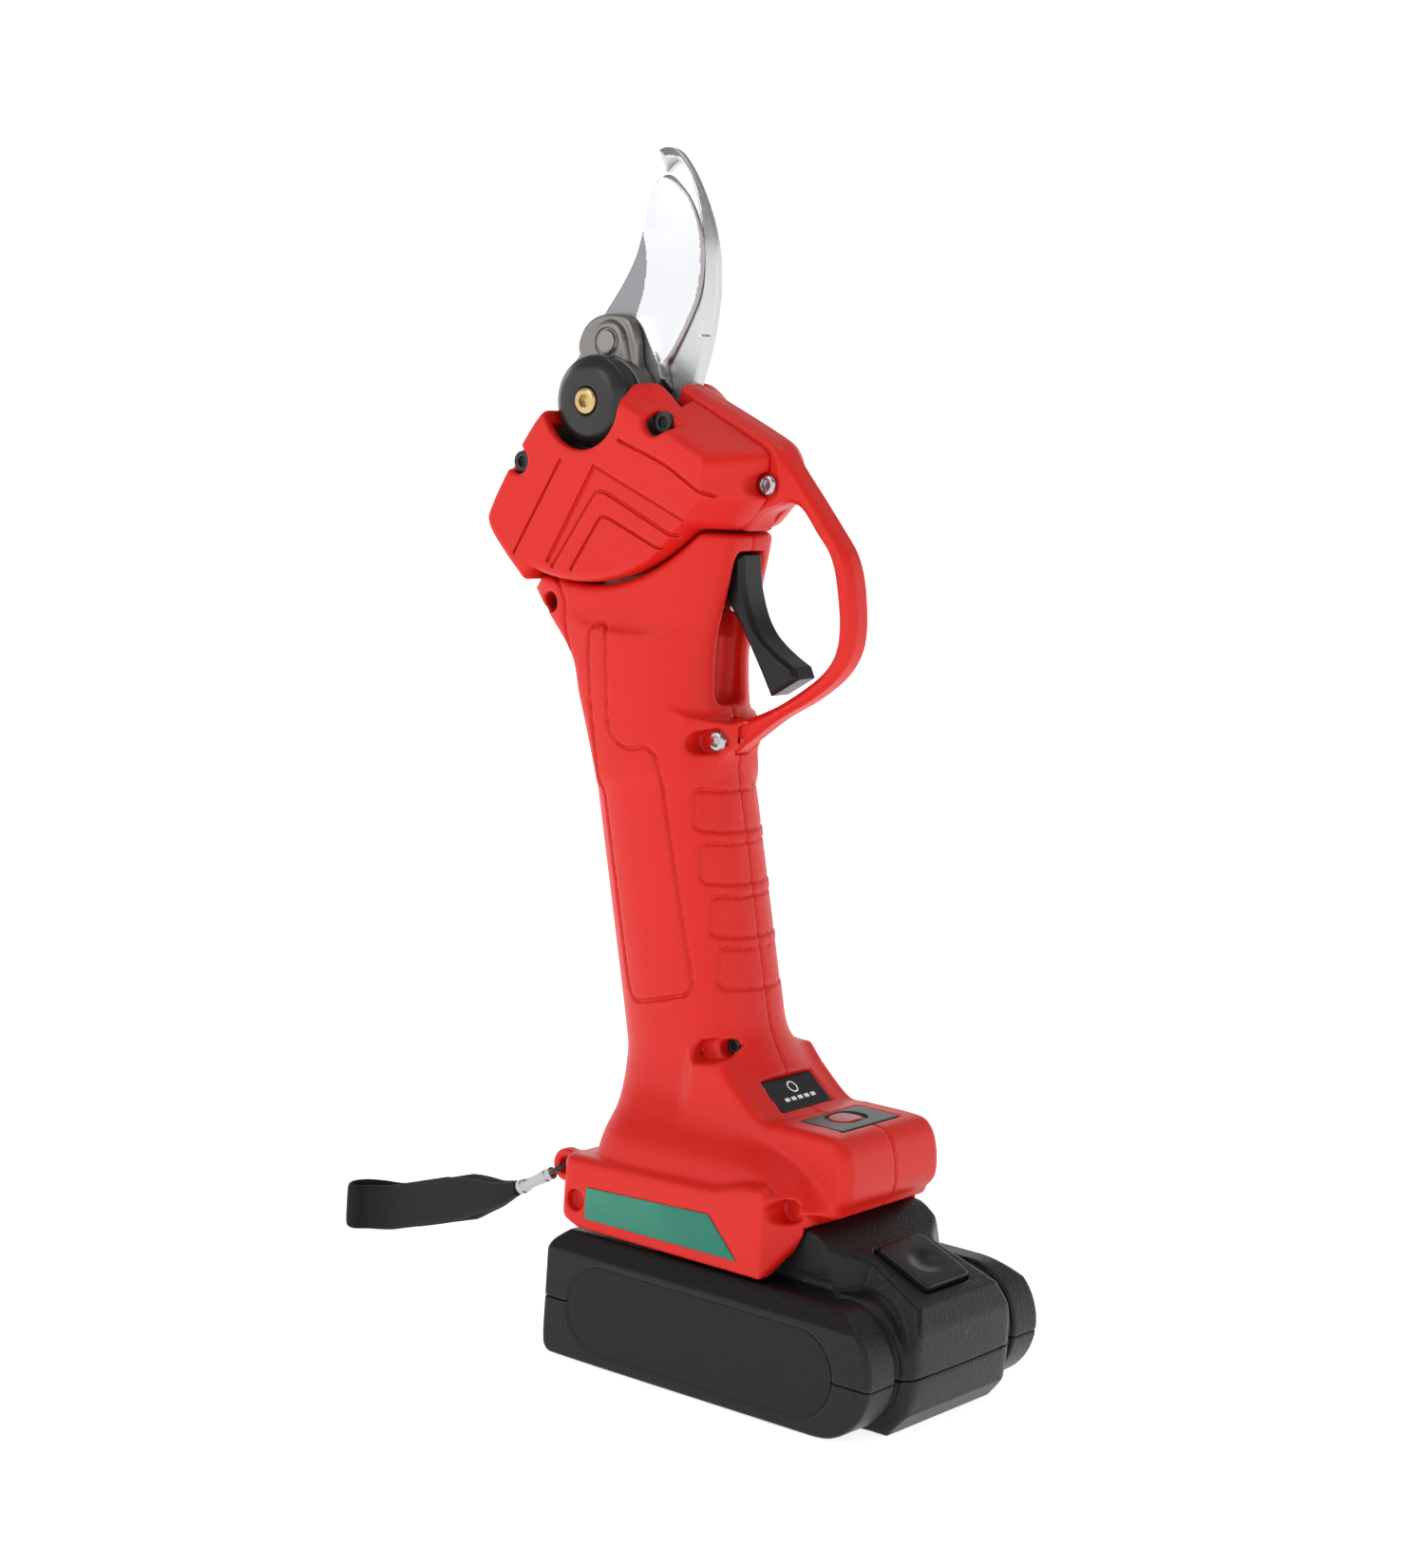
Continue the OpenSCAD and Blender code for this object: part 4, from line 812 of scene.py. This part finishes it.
def arm(x, y, z):
    r = dist(x, z, PIVOT)
    a = rounded(ARM_A(x, z), slab(y, -8.6, -3.2), 0.9)
    b = rounded(ARM_B(x, z), slab(y, -6.6, -3.2), 0.8)
    d = smin(a, b, 0.7)
    d = either(d, rounded(r - 11.2, slab(y, -9.5, -3.2), 0.3))
    p = np.hypot(x - PX + 1.8, z - PZ - 14.3)
    d = smax(d, either(d + 0.5, 0.35 - np.abs(p - 3.3)), 0.25)
    u, w = tool(x, z)
    rr = np.hypot(u, w)
    ang = np.degrees(np.arctan2(w, u)) % 360
    sector = both(rr - 33, np.abs(ang - 249) * rr * DEG - 33 * 33 * DEG)
    plate = both(sector, slab(y, -9.3, -6.15))
    q = (ang - 270 + GEAR_STEP + GEAR_STEP / 2) % GEAR_STEP - GEAR_STEP / 2
    tooth = both(np.abs(q) * rr * DEG - 0.5, np.abs(rr - 30) - 2.7, slab(y, -6.95, -4.2))
    tooth = both(tooth, np.abs(ang - 248) * rr * DEG - 32 * rr * DEG)
    d = either(d, plate, tooth)
    return both(d, 5.05 - r)


def turned(profile, c, step=0.1):
    """A turned shape about the Y axis through c, from a closed outline of (radius, y)."""
    t = Flat(profile, step=step, margin=3)
    return lambda x, y, z: t(dist(x, z, c), y)


NUT = turned(resample([(0, -10.3, 0), (11.0, -10.3), (11.3, -10.7), (11.3, -14.2), (10.9, -15.1), (9.4, -16.4),
                       (8.1, -17.2), (6.2, -17.5), (4.3, -17.6), (3.7, -17.4), (3.45, -17.0), (3.4, -16.5, 0),
                       (0, -16.5, 0)], 0.3), PIVOT)
LOCK_HEAD = turned(resample([(0, -16.5, 0), (3.2, -16.5), (3.35, -16.9), (3.2, -17.7), (2.4, -18.15),
                             (0, -18.25, 0)], 0.2), PIVOT)


def hexa(u, w, r):
    """A hexagon socket of this half width."""
    a, b = np.abs(u), np.abs(w)
    return both(a * 0.8660254 + b * 0.5, b) - r


def nut(x, y, z):
    d = NUT(x, y, z)
    return both(d, 4.02 - dist(x, z, PIVOT) - 40 * (y < -16.4))


def lock(x, y, z):
    d = LOCK_HEAD(x, y, z)
    hx = hexa(x - PX, z - PZ, 1.45)
    d = cut(d, both(hx, y + 17.0), 0.15)
    return either(d, both(dist(x, z, PIVOT) - 1.66, slab(y, -16.7, -8)))


def bolt(x, y, z):
    r = dist(x, z, PIVOT)
    d = rounded(r - 5, slab(y, -12, 9.5), 0.1)
    d = either(d, rounded(r - 4, slab(y, -15.6, -12), 0.2))
    d = either(d, rounded(r - 8.6, slab(y, 9, 13), 0.7))
    d = cut(d, both(hexa(x - PX, z - PZ, 2.95), 10.6 - y), 0.2)
    return both(d, either(-(r - 1.7), 20 + 0 * r) - 60 * (y > -6))


def screw_at(p, y_head, r_head, h_head, length, r_shank, dome=0.5):
    def f(x, y, z):
        r = dist(x, z, p)
        d = rounded(r - r_head, slab(y, y_head - h_head, y_head), dome)
        d = cut(d, both(hexa(x - p[0], z - p[1], r_head * 0.47), y - (y_head - h_head + 1.1)), 0.12)
        thread = r_shank + 0.09 * np.sin(y * 8.0 + np.arctan2(z - p[1], x - p[0]))
        return either(d, both(r - thread, slab(y, y_head - 0.1, y_head + length)) * 0.9)
    return f


def group(*fs):
    return lambda x, y, z: either(*(g(x, y, z) for g in fs))


def paint_blade(ob):
    """The bevel is brushed polished steel, the cutting edge is honed, and the flat outside the bevel is a darker
    brushed steel whose darker colour is painted shade for the flat's darker reflection.
    """
    c = np.empty(len(ob.data.polygons) * 3)
    ob.data.polygons.foreach_get("center", c)
    c = c.reshape(-1, 3) * 1000
    x, z = c[:, 0].astype(f32), c[:, 2].astype(f32)
    idx = np.where(BEVEL_2D(x, z) > 0, 1, np.where(EDGE_2D(x, z) < 0.9, 2, 0)).astype(np.int32)
    ob.data.polygons.foreach_set("material_index", idx)


# ------------------------------------------------------------------ trigger
TRIG_2D = Flat(resample([(-35, 197.6), (-31, 198.8), (-26.6, 198.4, 0), (-25.4, 191), (-22.9, 184.2),
                         (-20.2, 180.2), (-16.9, 177.4), (-13, 175), (-9.2, 173.1, 0), (-7.8, 170.4, 0),
                         (-15.6, 165.3, 0), (-19.4, 171.5), (-25.4, 180.4), (-30.8, 187.2), (-34.4, 190.6),
                         (-36, 192.8)], 0.4))
TRIGGER_PIN = (-32.5, 194.5)


def trigger(x, y, z):
    d2 = TRIG_2D(x, z)
    a = np.abs(y)
    d = rounded(d2, a - 4.5, 0.35)
    # broad chamfers along the finger side
    d = smax(d, (d2 + a - 4.5 + 1.1) * 0.7071, 0.2)
    d = both(d, 1.55 - dist(x, z, TRIGGER_PIN))
    # the spring's seat in the back
    d = cut(d, both(np.hypot(y, z - 186.7 + 0.17 * (x + 33)) - 2.8, x + 27.9))
    return cut(d, both(np.hypot(x + 26.6, z - 186) - 1.3, a - 2.6))


def trigger_pin(x, y, z):
    """With chamfered ends."""
    r = dist(x, z, TRIGGER_PIN) - 1.45
    e = np.abs(y) - 9.2
    return both(r, e, (r + e) * 0.707 + 0.3)


# ------------------------------------------------------------------ labels, plate, window
def window(x, y, z):
    u, w = display_frame(x, z)
    return rounded(rbox(u, y, 4.8, 10.2, 1.4), slab(w, -1.6, 0.45), 0.25)


def window_bars(x, y, z):
    """A row of five bars beside a ring."""
    u, w = display_frame(x, z)
    k = np.clip(np.round(y / 2.6), -2, 2)
    row = rbox(u - 1.7, y - 2.6 * k, 0.55, 0.85, 0.2)
    ring = np.abs(np.hypot(u + 1.6, y) - 1.5) - 0.22
    return rounded(either(row, ring), slab(w, 0.2, 0.52), 0.03)


def plate(x, y, z):
    d = rounded(rbox(x - 13.9, y, 6.3, 12, 1.2), slab(z, 63.9, 66.3), 0.3)
    return cut(d, both(rbox(x - 12.6, y, 4.1, 6.2, 4.0), 65.75 - z), 0.3)


def plate_button(x, y, z):
    crown = 66.35 - 0.02 * (y * y) * 0.6
    return rounded(rbox(x - 12.5, y, 3.4, 4.7, 3.3), both(63.2 - z, z - crown), 0.35)


LABEL_2D = Flat(resample([(-40.8, 34.8, 0), (6.3, 35.0, 0), (-3.1, 44.6, 0), (-40.8, 42.8, 0)], 0.5))


def side_label(x, y, z):
    return rounded(LABEL_2D(x, z) + 0.05, slab(np.abs(y), 31.9, 32.18), 0.08)


# ------------------------------------------------------------------ battery pack
WING = Flat(resample([(-46.2, 0)] + sc(circle_pts((33.5, 15.7), 15.7, -90, 90, 30))
                     + [(-45.4, 31.4, 0), (-48.6, 28.4), (-49, 26, 0), (-49, 14.4), (-48.8, 2.6)], 0.5), margin=6)
WINGSEC = Flat(resample([(-35.4, 0), (-36, 0.9), (-36, 26.8, 0), (-31.3, 31.4, 0), (31.3, 31.4, 0), (36, 26.8, 0),
                         (36, 0.9), (35.4, 0)], 0.5), margin=6)
BLOCK = Flat(resample([(-43, 0, 0), (45.4, 0, 0), (49.9, 5.4, 0), (51.4, 14.4), (51.2, 24.8, 0), (48.6, 30.6, 0),
                       (28.2, 39.4), (26.4, 40.6), (22.6, 43.2), (19.8, 43.9), (-24, 43.9, 0), (-24, 30, 0),
                       (-43, 30, 0)], 0.5), margin=6)
BLOCKPLAN = Flat(resample([(-60, -22.5, 0), (44.6, -22.5), (48.6, -21.9), (50.6, -20.4), (51.6, -17.4), (51.9, 0),
                           (51.6, 17.4), (50.6, 20.4), (48.6, 21.9), (44.6, 22.5), (-60, 22.5, 0)], 0.5), margin=6)
STAD = Flat(circle_pts((-30.6, 14.3), 11.2, 90, 270, 40) + circle_pts((27.6, 14.3), 11.2, -90, 90, 40), margin=8)
JOINT_Z, JOINT_GAP = 14.4, 0.08     # where the pack's cases meet


def frame_button(x, z):
    return turn(x - 30.6, z - 38.3, 23)


def pack(part):
    def f(x, y, z):
        ya = np.abs(y)
        wing = smax(WING(x, z), WINGSEC(y, z), 1.2)
        block = smax(BLOCK(x, z), BLOCKPLAN(x, y), 1.4)
        bev = ((z - 24.8) * 0.42 + (ya - 19.4) * 0.9) * 0.98
        block = smax(block, bev - 12 * (1 - sstep(23, 33, x)), 1.2)
        d = smin(wing, block, 1.6)
        d = cut(d, z)
        # the wings' fronts stand apart from the block behind a curved groove
        arc = np.hypot(x - 33.5, z - 15.7)
        g = both(np.abs(ya - 23.9) - 1.35, 14.4 - arc)
        g = smax(g, 29.5 - x, 2.0)
        g = both(g, z - 31)
        d = cut(d, g, 0.9)
        rail = both(slab(ya, 20.5, 30.5), slab(z, 35, 37.8), slab(x, -60, 11))
        d = cut(d, rail)
        # the side panel's recess
        d = cut(d, both(STAD(x, z), 35.72 - ya), 0.25)
        inner = both(WING(x, z) + 2.3, ya - 33.6, z - 27.4)
        inner = either(inner, both(slab(x, -20, 24), ya - 18.4, slab(z, 20, 41)))
        d = cut(d, inner)
        # joint line
        d = smax(d, either(d + 0.45, 0.16 - np.abs(z - JOINT_Z)), 0.2)
        if part == "lower":
            d = both(d, z - (JOINT_Z - JOINT_GAP))
            for cx in (-28.75, 26.15):
                r = np.hypot(x - cx, ya - 28)
                d = either(d, both(r - 2.9, slab(z, 1, 5.2)))
                d = cut(d, both(r - 1.25, z - 11))
                d = cut(d, both(r - 2.5, z - 2.4), 0.3)
        else:
            d = both(d, (JOINT_Z + JOINT_GAP) - z)
            k = np.clip(np.round(y / 8), -1, 1)
            d = cut(d, both(np.abs(y - 8 * k) - 0.7, slab(x, -26, -4.6), 36 - z))
            bu, bw = frame_button(x, z)
            d = cut(d, both(rbox(bu - 7.5, y, 8.7, 9.5, 1.2), -7.8 - bw), 0.5)
        return d
    return f


def release(x, y, z):
    bu, bw = frame_button(x, z)
    d2 = rbox(bu - 7.5, y, 8.3, 9.1, 1.6)
    top = 1.7 - 0.002 * (bu - 7.5) ** 2 * 1.5
    d = rounded(d2, both(-1.2 - bw, bw - top), 0.7)
    bowl = np.sqrt((bu - 8.0) ** 2 * 1.7 + y * y + (bw - 13.8) ** 2) - 13.1
    d = smax(d, -bowl * 0.8, 0.5)
    lip = both(slab(bu, -0.8, 1.6), slab(bw, -4.6, 1.0), np.abs(y) - 8.8)
    return either(d, lip)


def panel_film(x, y, z):
    st = STAD(x, z) + 0.35
    d = rounded(st, slab(np.abs(y), 35.35, 35.86), 0.12)
    return smax(d, either(d + 0.1, 0.16 - np.abs(st + 0.8)), 0.1)


# ------------------------------------------------------------------ wrist strap
ROUTE = np.array([
    [-66.6, -27.4, 35.8], [-77.5, -22.8, 30.9], [-89.7, -17, 26.6], [-103, -11, 21.8], [-117, -4.6, 16.6],
    [-127.8, 0, 12.6], [-139, 4.2, 8.6], [-146.8, 5, 6.8], [-151, 3.4, 6.2], [-153.8, 4.2, 6.2],
    [-154.8, 7.4, 6.2], [-153.2, 11, 6.2], [-149.2, 13.6, 6.2], [-143.6, 14.2, 6.6], [-137, 12.8, 8.2],
    [-128, 9.4, 11.4], [-118, 5, 15.2], [-108, 0.2, 19], [-98, -5.4, 22.8], [-88.4, -12, 26.6],
    [-79, -18.6, 30.2], [-72.6, -23, 33.2], [-67, -26, 35.9]])


def smooth_route(P, step):
    out = []
    n = len(P)
    for i in range(n - 1):
        p0 = P[max(i - 1, 0)]
        p1, p2 = P[i], P[i + 1]
        p3 = P[min(i + 2, n - 1)]
        k = max(2, int(np.linalg.norm(p2 - p1) / step))
        for s in range(k):
            t = s / k
            out.append(0.5 * ((2 * p1) + (-p0 + p2) * t + (2 * p0 - 5 * p1 + 4 * p2 - p3) * t**2
                              + (-p0 + 3 * p1 - 3 * p2 + p3) * t**3))
    out.append(P[-1])
    return np.array(out)


RIB, PICK = 0.62, 1.25              # the weave: a rib's width, and a pick along the tape


def webbing():
    """A woven tape on edge: rows of herringbone ribs, with a rolled edge."""
    C = smooth_route(ROUTE, 0.34)
    n = len(C)
    T = np.gradient(C, axis=0)
    T /= np.linalg.norm(T, axis=1)[:, None]
    S = np.cross([0, 0, 1.0], T)
    S /= np.linalg.norm(S, axis=1)[:, None]
    U = np.cross(T, S)
    run = np.concatenate([[0], np.cumsum(np.linalg.norm(np.diff(C, axis=0), axis=1))])
    total = run[-1]
    near = np.minimum(run, total - run)
    half = 1.6 + 4.4 * np.clip(near / 44, 0, 1) ** 0.85
    thick = 1.25 + 0.5 * (1 - sstep(0, 20, near))
    m = 34
    w = np.linspace(-1, 1, m)
    rings = []
    for i in range(n):
        prof = []
        hh, tt = half[i], thick[i] * 0.5
        for side in (1, -1):
            for q in (w if side == 1 else w[::-1]):
                edge = (1 - np.abs(q) ** 6) ** 0.5
                lanes = q * hh / RIB
                way = 1 if int(math.floor(lanes)) % 2 else -1
                tw = 0.5 + 0.5 * math.cos(2 * math.pi * (lanes * 0.5 + (run[i] / PICK) * way))
                rib = (0.5 + 0.5 * math.cos(2 * math.pi * lanes)) * 0.16 + tw * 0.13
                off = side * (tt * (0.35 + 0.65 * edge) + rib * edge)
                prof.append(C[i] + U[i] * q * hh + S[i] * off)
        rings.append(prof)
    R = np.array(rings)
    k = R.shape[1]
    V = R.reshape(-1, 3)
    Q = []
    for i in range(n - 1):
        a = np.arange(k)
        b = (a + 1) % k
        Q.append(np.stack([i * k + a, (i + 1) * k + a, (i + 1) * k + b, i * k + b], 1))
    Q = np.concatenate(Q)[:, ::-1]
    V = np.vstack([V, C[0:1], C[-1:]])
    ob = make_mesh("visual_strap", V, Q)
    me = ob.data
    bm = bmesh.new()
    bm.from_mesh(me)
    bm.verts.ensure_lookup_table()
    for start, centre, flip in ((0, len(V) - 2, False), ((n - 1) * k, len(V) - 1, True)):
        for j in range(k):
            a, b = bm.verts[start + j], bm.verts[start + (j + 1) % k]
            c = bm.verts[centre]
            bm.faces.new((b, a, c) if not flip else (a, b, c))
    bmesh.ops.recalc_face_normals(bm, faces=bm.faces)
    for fc in bm.faces:
        fc.smooth = True
    bm.to_mesh(me)
    bm.free()
    return ob


def ferrule_frame(x, y, z):
    u, w = turn(x - EYE[0], z - EYE[1], 149)
    return u, y + 27.0, w


def ferrule(x, y, z):
    u, v, w = ferrule_frame(x, y, z)
    flat = 1 - 0.10 * sstep(10, 12, u) * (1 - sstep(14.5, 16, u))
    body = rounded(np.hypot(v, w / flat) - (1.62 + 0.28 * sstep(13, 18, u)), slab(u, 6.4, 18.4), 0.3)
    ring = either(np.abs(u - 8.2), np.abs(u - 16.6))
    return smax(body, either(body + 0.22, 0.3 - ring), 0.15)


def cord_loop(x, y, z):
    """A twisted cord through the eye, and its two ends into the ferrule."""
    u, v, w = ferrule_frame(x, y, z)
    a = np.arctan2(v, u - 2.9)
    q = np.hypot(u - 2.9, v) - 2.9
    d = np.hypot(q, w) - 0.6 + 0.05 * np.cos(np.arctan2(w, q) * 2 + a * 10)
    legs = both(np.hypot(np.abs(v) - 0.62, w) - 0.56, slab(u, 4.6, 7.4))
    return smin(d, legs, 0.3)


# ------------------------------------------------------------------ the pieces
# name, shape, box, cell size, material, body, slot, replaced nodes
PIECES = (
    ("head_left", head(NEAR), (-97, -20.5, 186), (-11, 0, 240), 0.41, RED, "handle", "red_shell", "head_shell_left"),
    ("head_right", head(FAR), (-97, 0, 186), (-11, 20.5, 240), 0.5, RED, "handle", "red_shell", "head_shell_right"),
    ("guard", guard, (-50, -5.2, 149), (7.6, 5.2, 239), 0.4, RED, "handle", "red_shell", "trigger_guard"),
    ("handle_left", handle(NEAR), (-87, -32.3, 31.8), (29, 0, 204.4), 0.68, RED, "handle", "red_shell",
     "handle_shell_left"),
    ("handle_right", handle(FAR), (-87, 0, 31.8), (29, 32.3, 204.4), 0.68, RED, "handle", "red_shell",
     "handle_shell_right"),
    ("hook", hook, (-82, -0.2, 218), (-43, 5.8, 296), 0.34, HOOK, "handle", "hook_steel", "counter_blade"),
    ("blade", blade, (-82, -3.4, 218), (-45, 0, 290), 0.32, (BLADE, BLADE_FLAT_PAINTED_SHADE, BLADE_CUT), "blade", "blade_steel",
     "moving_blade"),
    ("arm", arm, (-101, -9.8, 199), (-54, -3, 255), 0.34, CAST, "blade", "gear_steel", "drive_gear"),
    ("nut", nut, (-79, -17.7, 221), (-56, -10, 244), 0.28, NUT_SATIN, "handle", "black_steel", "adjusting_nut"),
    ("lock_screw", lock, (-71, -18.5, 229), (-64, -7.8, 236), 0.12, BRASS, "handle", "brass", "lock_screw"),
    ("bolt", bolt, (-76.4, -15.8, 223.6), (-58.6, 13.2, 241.4), 0.3, DARK, "handle", "black_steel", "pivot_bolt"),
    ("head_screws", group(screw_at((-44.5, 229.0), -13.8, 2.65, 2, 24, 1.3, 0.3),
                          screw_at((-86.1, 216.2), -16.4, 2.65, 2, 34, 1.3, 0.3)),
     (-90, -20, 212), (-40, 17.5, 233), 0.26, DARK, "handle", "black_steel", "head_screws"),
    ("guard_screws", group(screw_at(GUARD_SCREWS[0], -5.15, 2.5, 1.7, 10, 1.2, 0.75),
                           screw_at(GUARD_SCREWS[1], -7.6, 2.5, 1.8, 15, 1.2, 0.75)),
     (-28, -13, 150), (-16, 10.4, 219), 0.2, CHROME, "handle", "bright_steel", "guard_screws"),
    ("handle_screws", group(screw_at(HANDLE_SCREW, -9.0, 2.3, 1.6, 20, 1.1),
                            screw_at((-15.2, 79.8), -8.4, 2.0, 1.4, 20, 1.0)),
     (-80.2, -13.8, 77), (-14.2, 10.8, 185), 0.24, DARK, "handle", "black_steel", "handle_screws"),
    ("trigger", trigger, (-36.5, -4.7, 165), (-7.5, 4.7, 199), 0.28, TRIG, "trigger", "trigger_black", "trigger"),
    ("window", window, (-8, -10.4, 64), (2.5, 10.4, 75), 0.22, WINDOW, "handle", "window", "display_window"),
    ("window_bars", window_bars, (-8, -7, 64), (2.5, 7, 75), 0.12, LED, "handle", "window"),
    ("plate", plate, (7.4, -12.2, 63.6), (20.4, 12.2, 66.6), 0.24, PLATE, "handle", "panel", "power_plate"),
    ("power_button", plate_button, (8.8, -5, 63), (16.2, 5, 67), 0.16, BUTTON, "power_button", "button_red",
     "power_button"),
    ("side_labels", side_label, (-41, -32.4, 34.5), (6.6, 32.4, 45), 0.2, LABEL, "handle", "label_green",
     "side_labels"),
    ("trigger_pin", trigger_pin, (-34, -9.3, 193), (-31, 9.3, 196), 0.16, DARK, "handle", "bright_steel",
     "trigger_pin"),
    ("lower_case", pack("lower"), (-49.6, -36.4, -0.2), (52.2, 36.4, 14.6), 0.52, BLACK, "battery", "black_shell",
     "lower_case"),
    ("upper_case", pack("upper"), (-49.6, -36.4, 14.2), (52.2, 36.4, 44.4), 0.56, BLACK, "battery", "black_shell",
     "upper_case"),
    ("side_panels", panel_film, (-42.5, -36.1, 2.5), (39.5, 36.1, 26), 0.36, PANEL, "battery", "panel",
     "side_panels"),
    ("release", release, (27, -9.6, 27), (49, 9.6, 42), 0.28, BLACK_SMOOTH, "release_button", "black_shell",
     "release_button"),
)


def strap():
    tape = finish_piece(webbing(), WEB, "handle", "webbing", "wrist_strap")
    fer = piece("ferrule", ferrule, (-68, -29.5, 34), (-52, -24.5, 45), 0.16, CHROME, "handle", "bright_steel",
                "strap_ferrule")
    loop = piece("cord_loop", cord_loop, (-58.5, -31, 40), (-48, -23, 48), 0.15, RUBBER, "handle", "webbing",
                 "strap_cord")


# ------------------------------------------------------------------ floor and light
FLOOR_PROFILE = ((1.2, 0.0), (2.0, 0.0), (2.6, 0.05), (3.1, 0.22), (3.5, 0.55), (3.75, 1.0), (3.85, 1.6))
FLOOR_X, FLOOR_Z, FLOOR_SIDES = -0.02, -0.0004, 96


def floor_material():
    m = material("floor_white", (0.82, 0.82, 0.82), 0.7, spec=0.1, grain=300, bump=0.0, vary=0.004)
    shader = principled(m)
    shader.inputs["Emission Color"].default_value = (1, 1, 1, 1)
    shader.inputs["Emission Strength"].default_value = 0.80
    return m


def floor():
    """A flat disc whose rim curves up into a backdrop."""
    bm = bmesh.new()
    turns = [2 * math.pi * k / FLOOR_SIDES for k in range(FLOOR_SIDES)]
    rings = [[bm.verts.new((FLOOR_X + r * math.cos(t), r * math.sin(t), h + FLOOR_Z)) for t in turns]
             for r, h in FLOOR_PROFILE]
    c = bm.verts.new((FLOOR_X, 0, FLOOR_Z))
    for k in range(FLOOR_SIDES):
        n = (k + 1) % FLOOR_SIDES
        bm.faces.new((c, rings[0][k], rings[0][n]))
        for a, b in zip(rings[:-1], rings[1:]):
            bm.faces.new((a[k], b[k], b[n], a[n]))
    me = bpy.data.meshes.new("floor")
    bm.to_mesh(me)
    bm.free()
    for p in me.polygons:
        p.use_smooth = True
    ob = bpy.data.objects.new("floor", me)
    bpy.context.scene.collection.objects.link(ob)
    ob.data.materials.append(floor_material())


# name, place, target, size in metres, power in watts
AREA_LIGHTS = (("key", (-0.35, -1.2, 1.0), (-0.03, 0, 0.14), (0.8, 0.8), 5.4),
               ("fill", (1.25, -0.35, 0.6), (-0.02, 0, 0.14), (0.6, 1.0), 1.35),
               ("top", (0.1, 0.35, 1.5), (-0.02, 0, 0.1), (1.1, 1.1), 3.6),
               ("rim", (-1.0, 0.9, 0.6), (-0.04, 0, 0.15), (0.6, 1.0), 1.7))
WORLD_STRENGTH = 0.36


def lights():
    w = bpy.data.worlds.new("studio")
    w.use_nodes = True
    bg = w.node_tree.nodes["Background"]
    bg.inputs[0].default_value = (1, 1, 1, 1)
    bg.inputs[1].default_value = WORLD_STRENGTH
    bpy.context.scene.world = w
    for name, where, target, size, power in AREA_LIGHTS:
        li = bpy.data.lights.new(name, "AREA")
        li.shape = "RECTANGLE"
        li.size, li.size_y = size
        li.energy = power
        ob = bpy.data.objects.new(name, li)
        ob.rotation_euler = (Vector(target) - Vector(where)).to_track_quat("-Z", "Y").to_euler()
        ob.location = where
        bpy.context.scene.collection.objects.link(ob)


for row in PIECES:
    made = piece(*row)
    if row[0] == "blade":
        paint_blade(made)
strap()
floor()
lights()
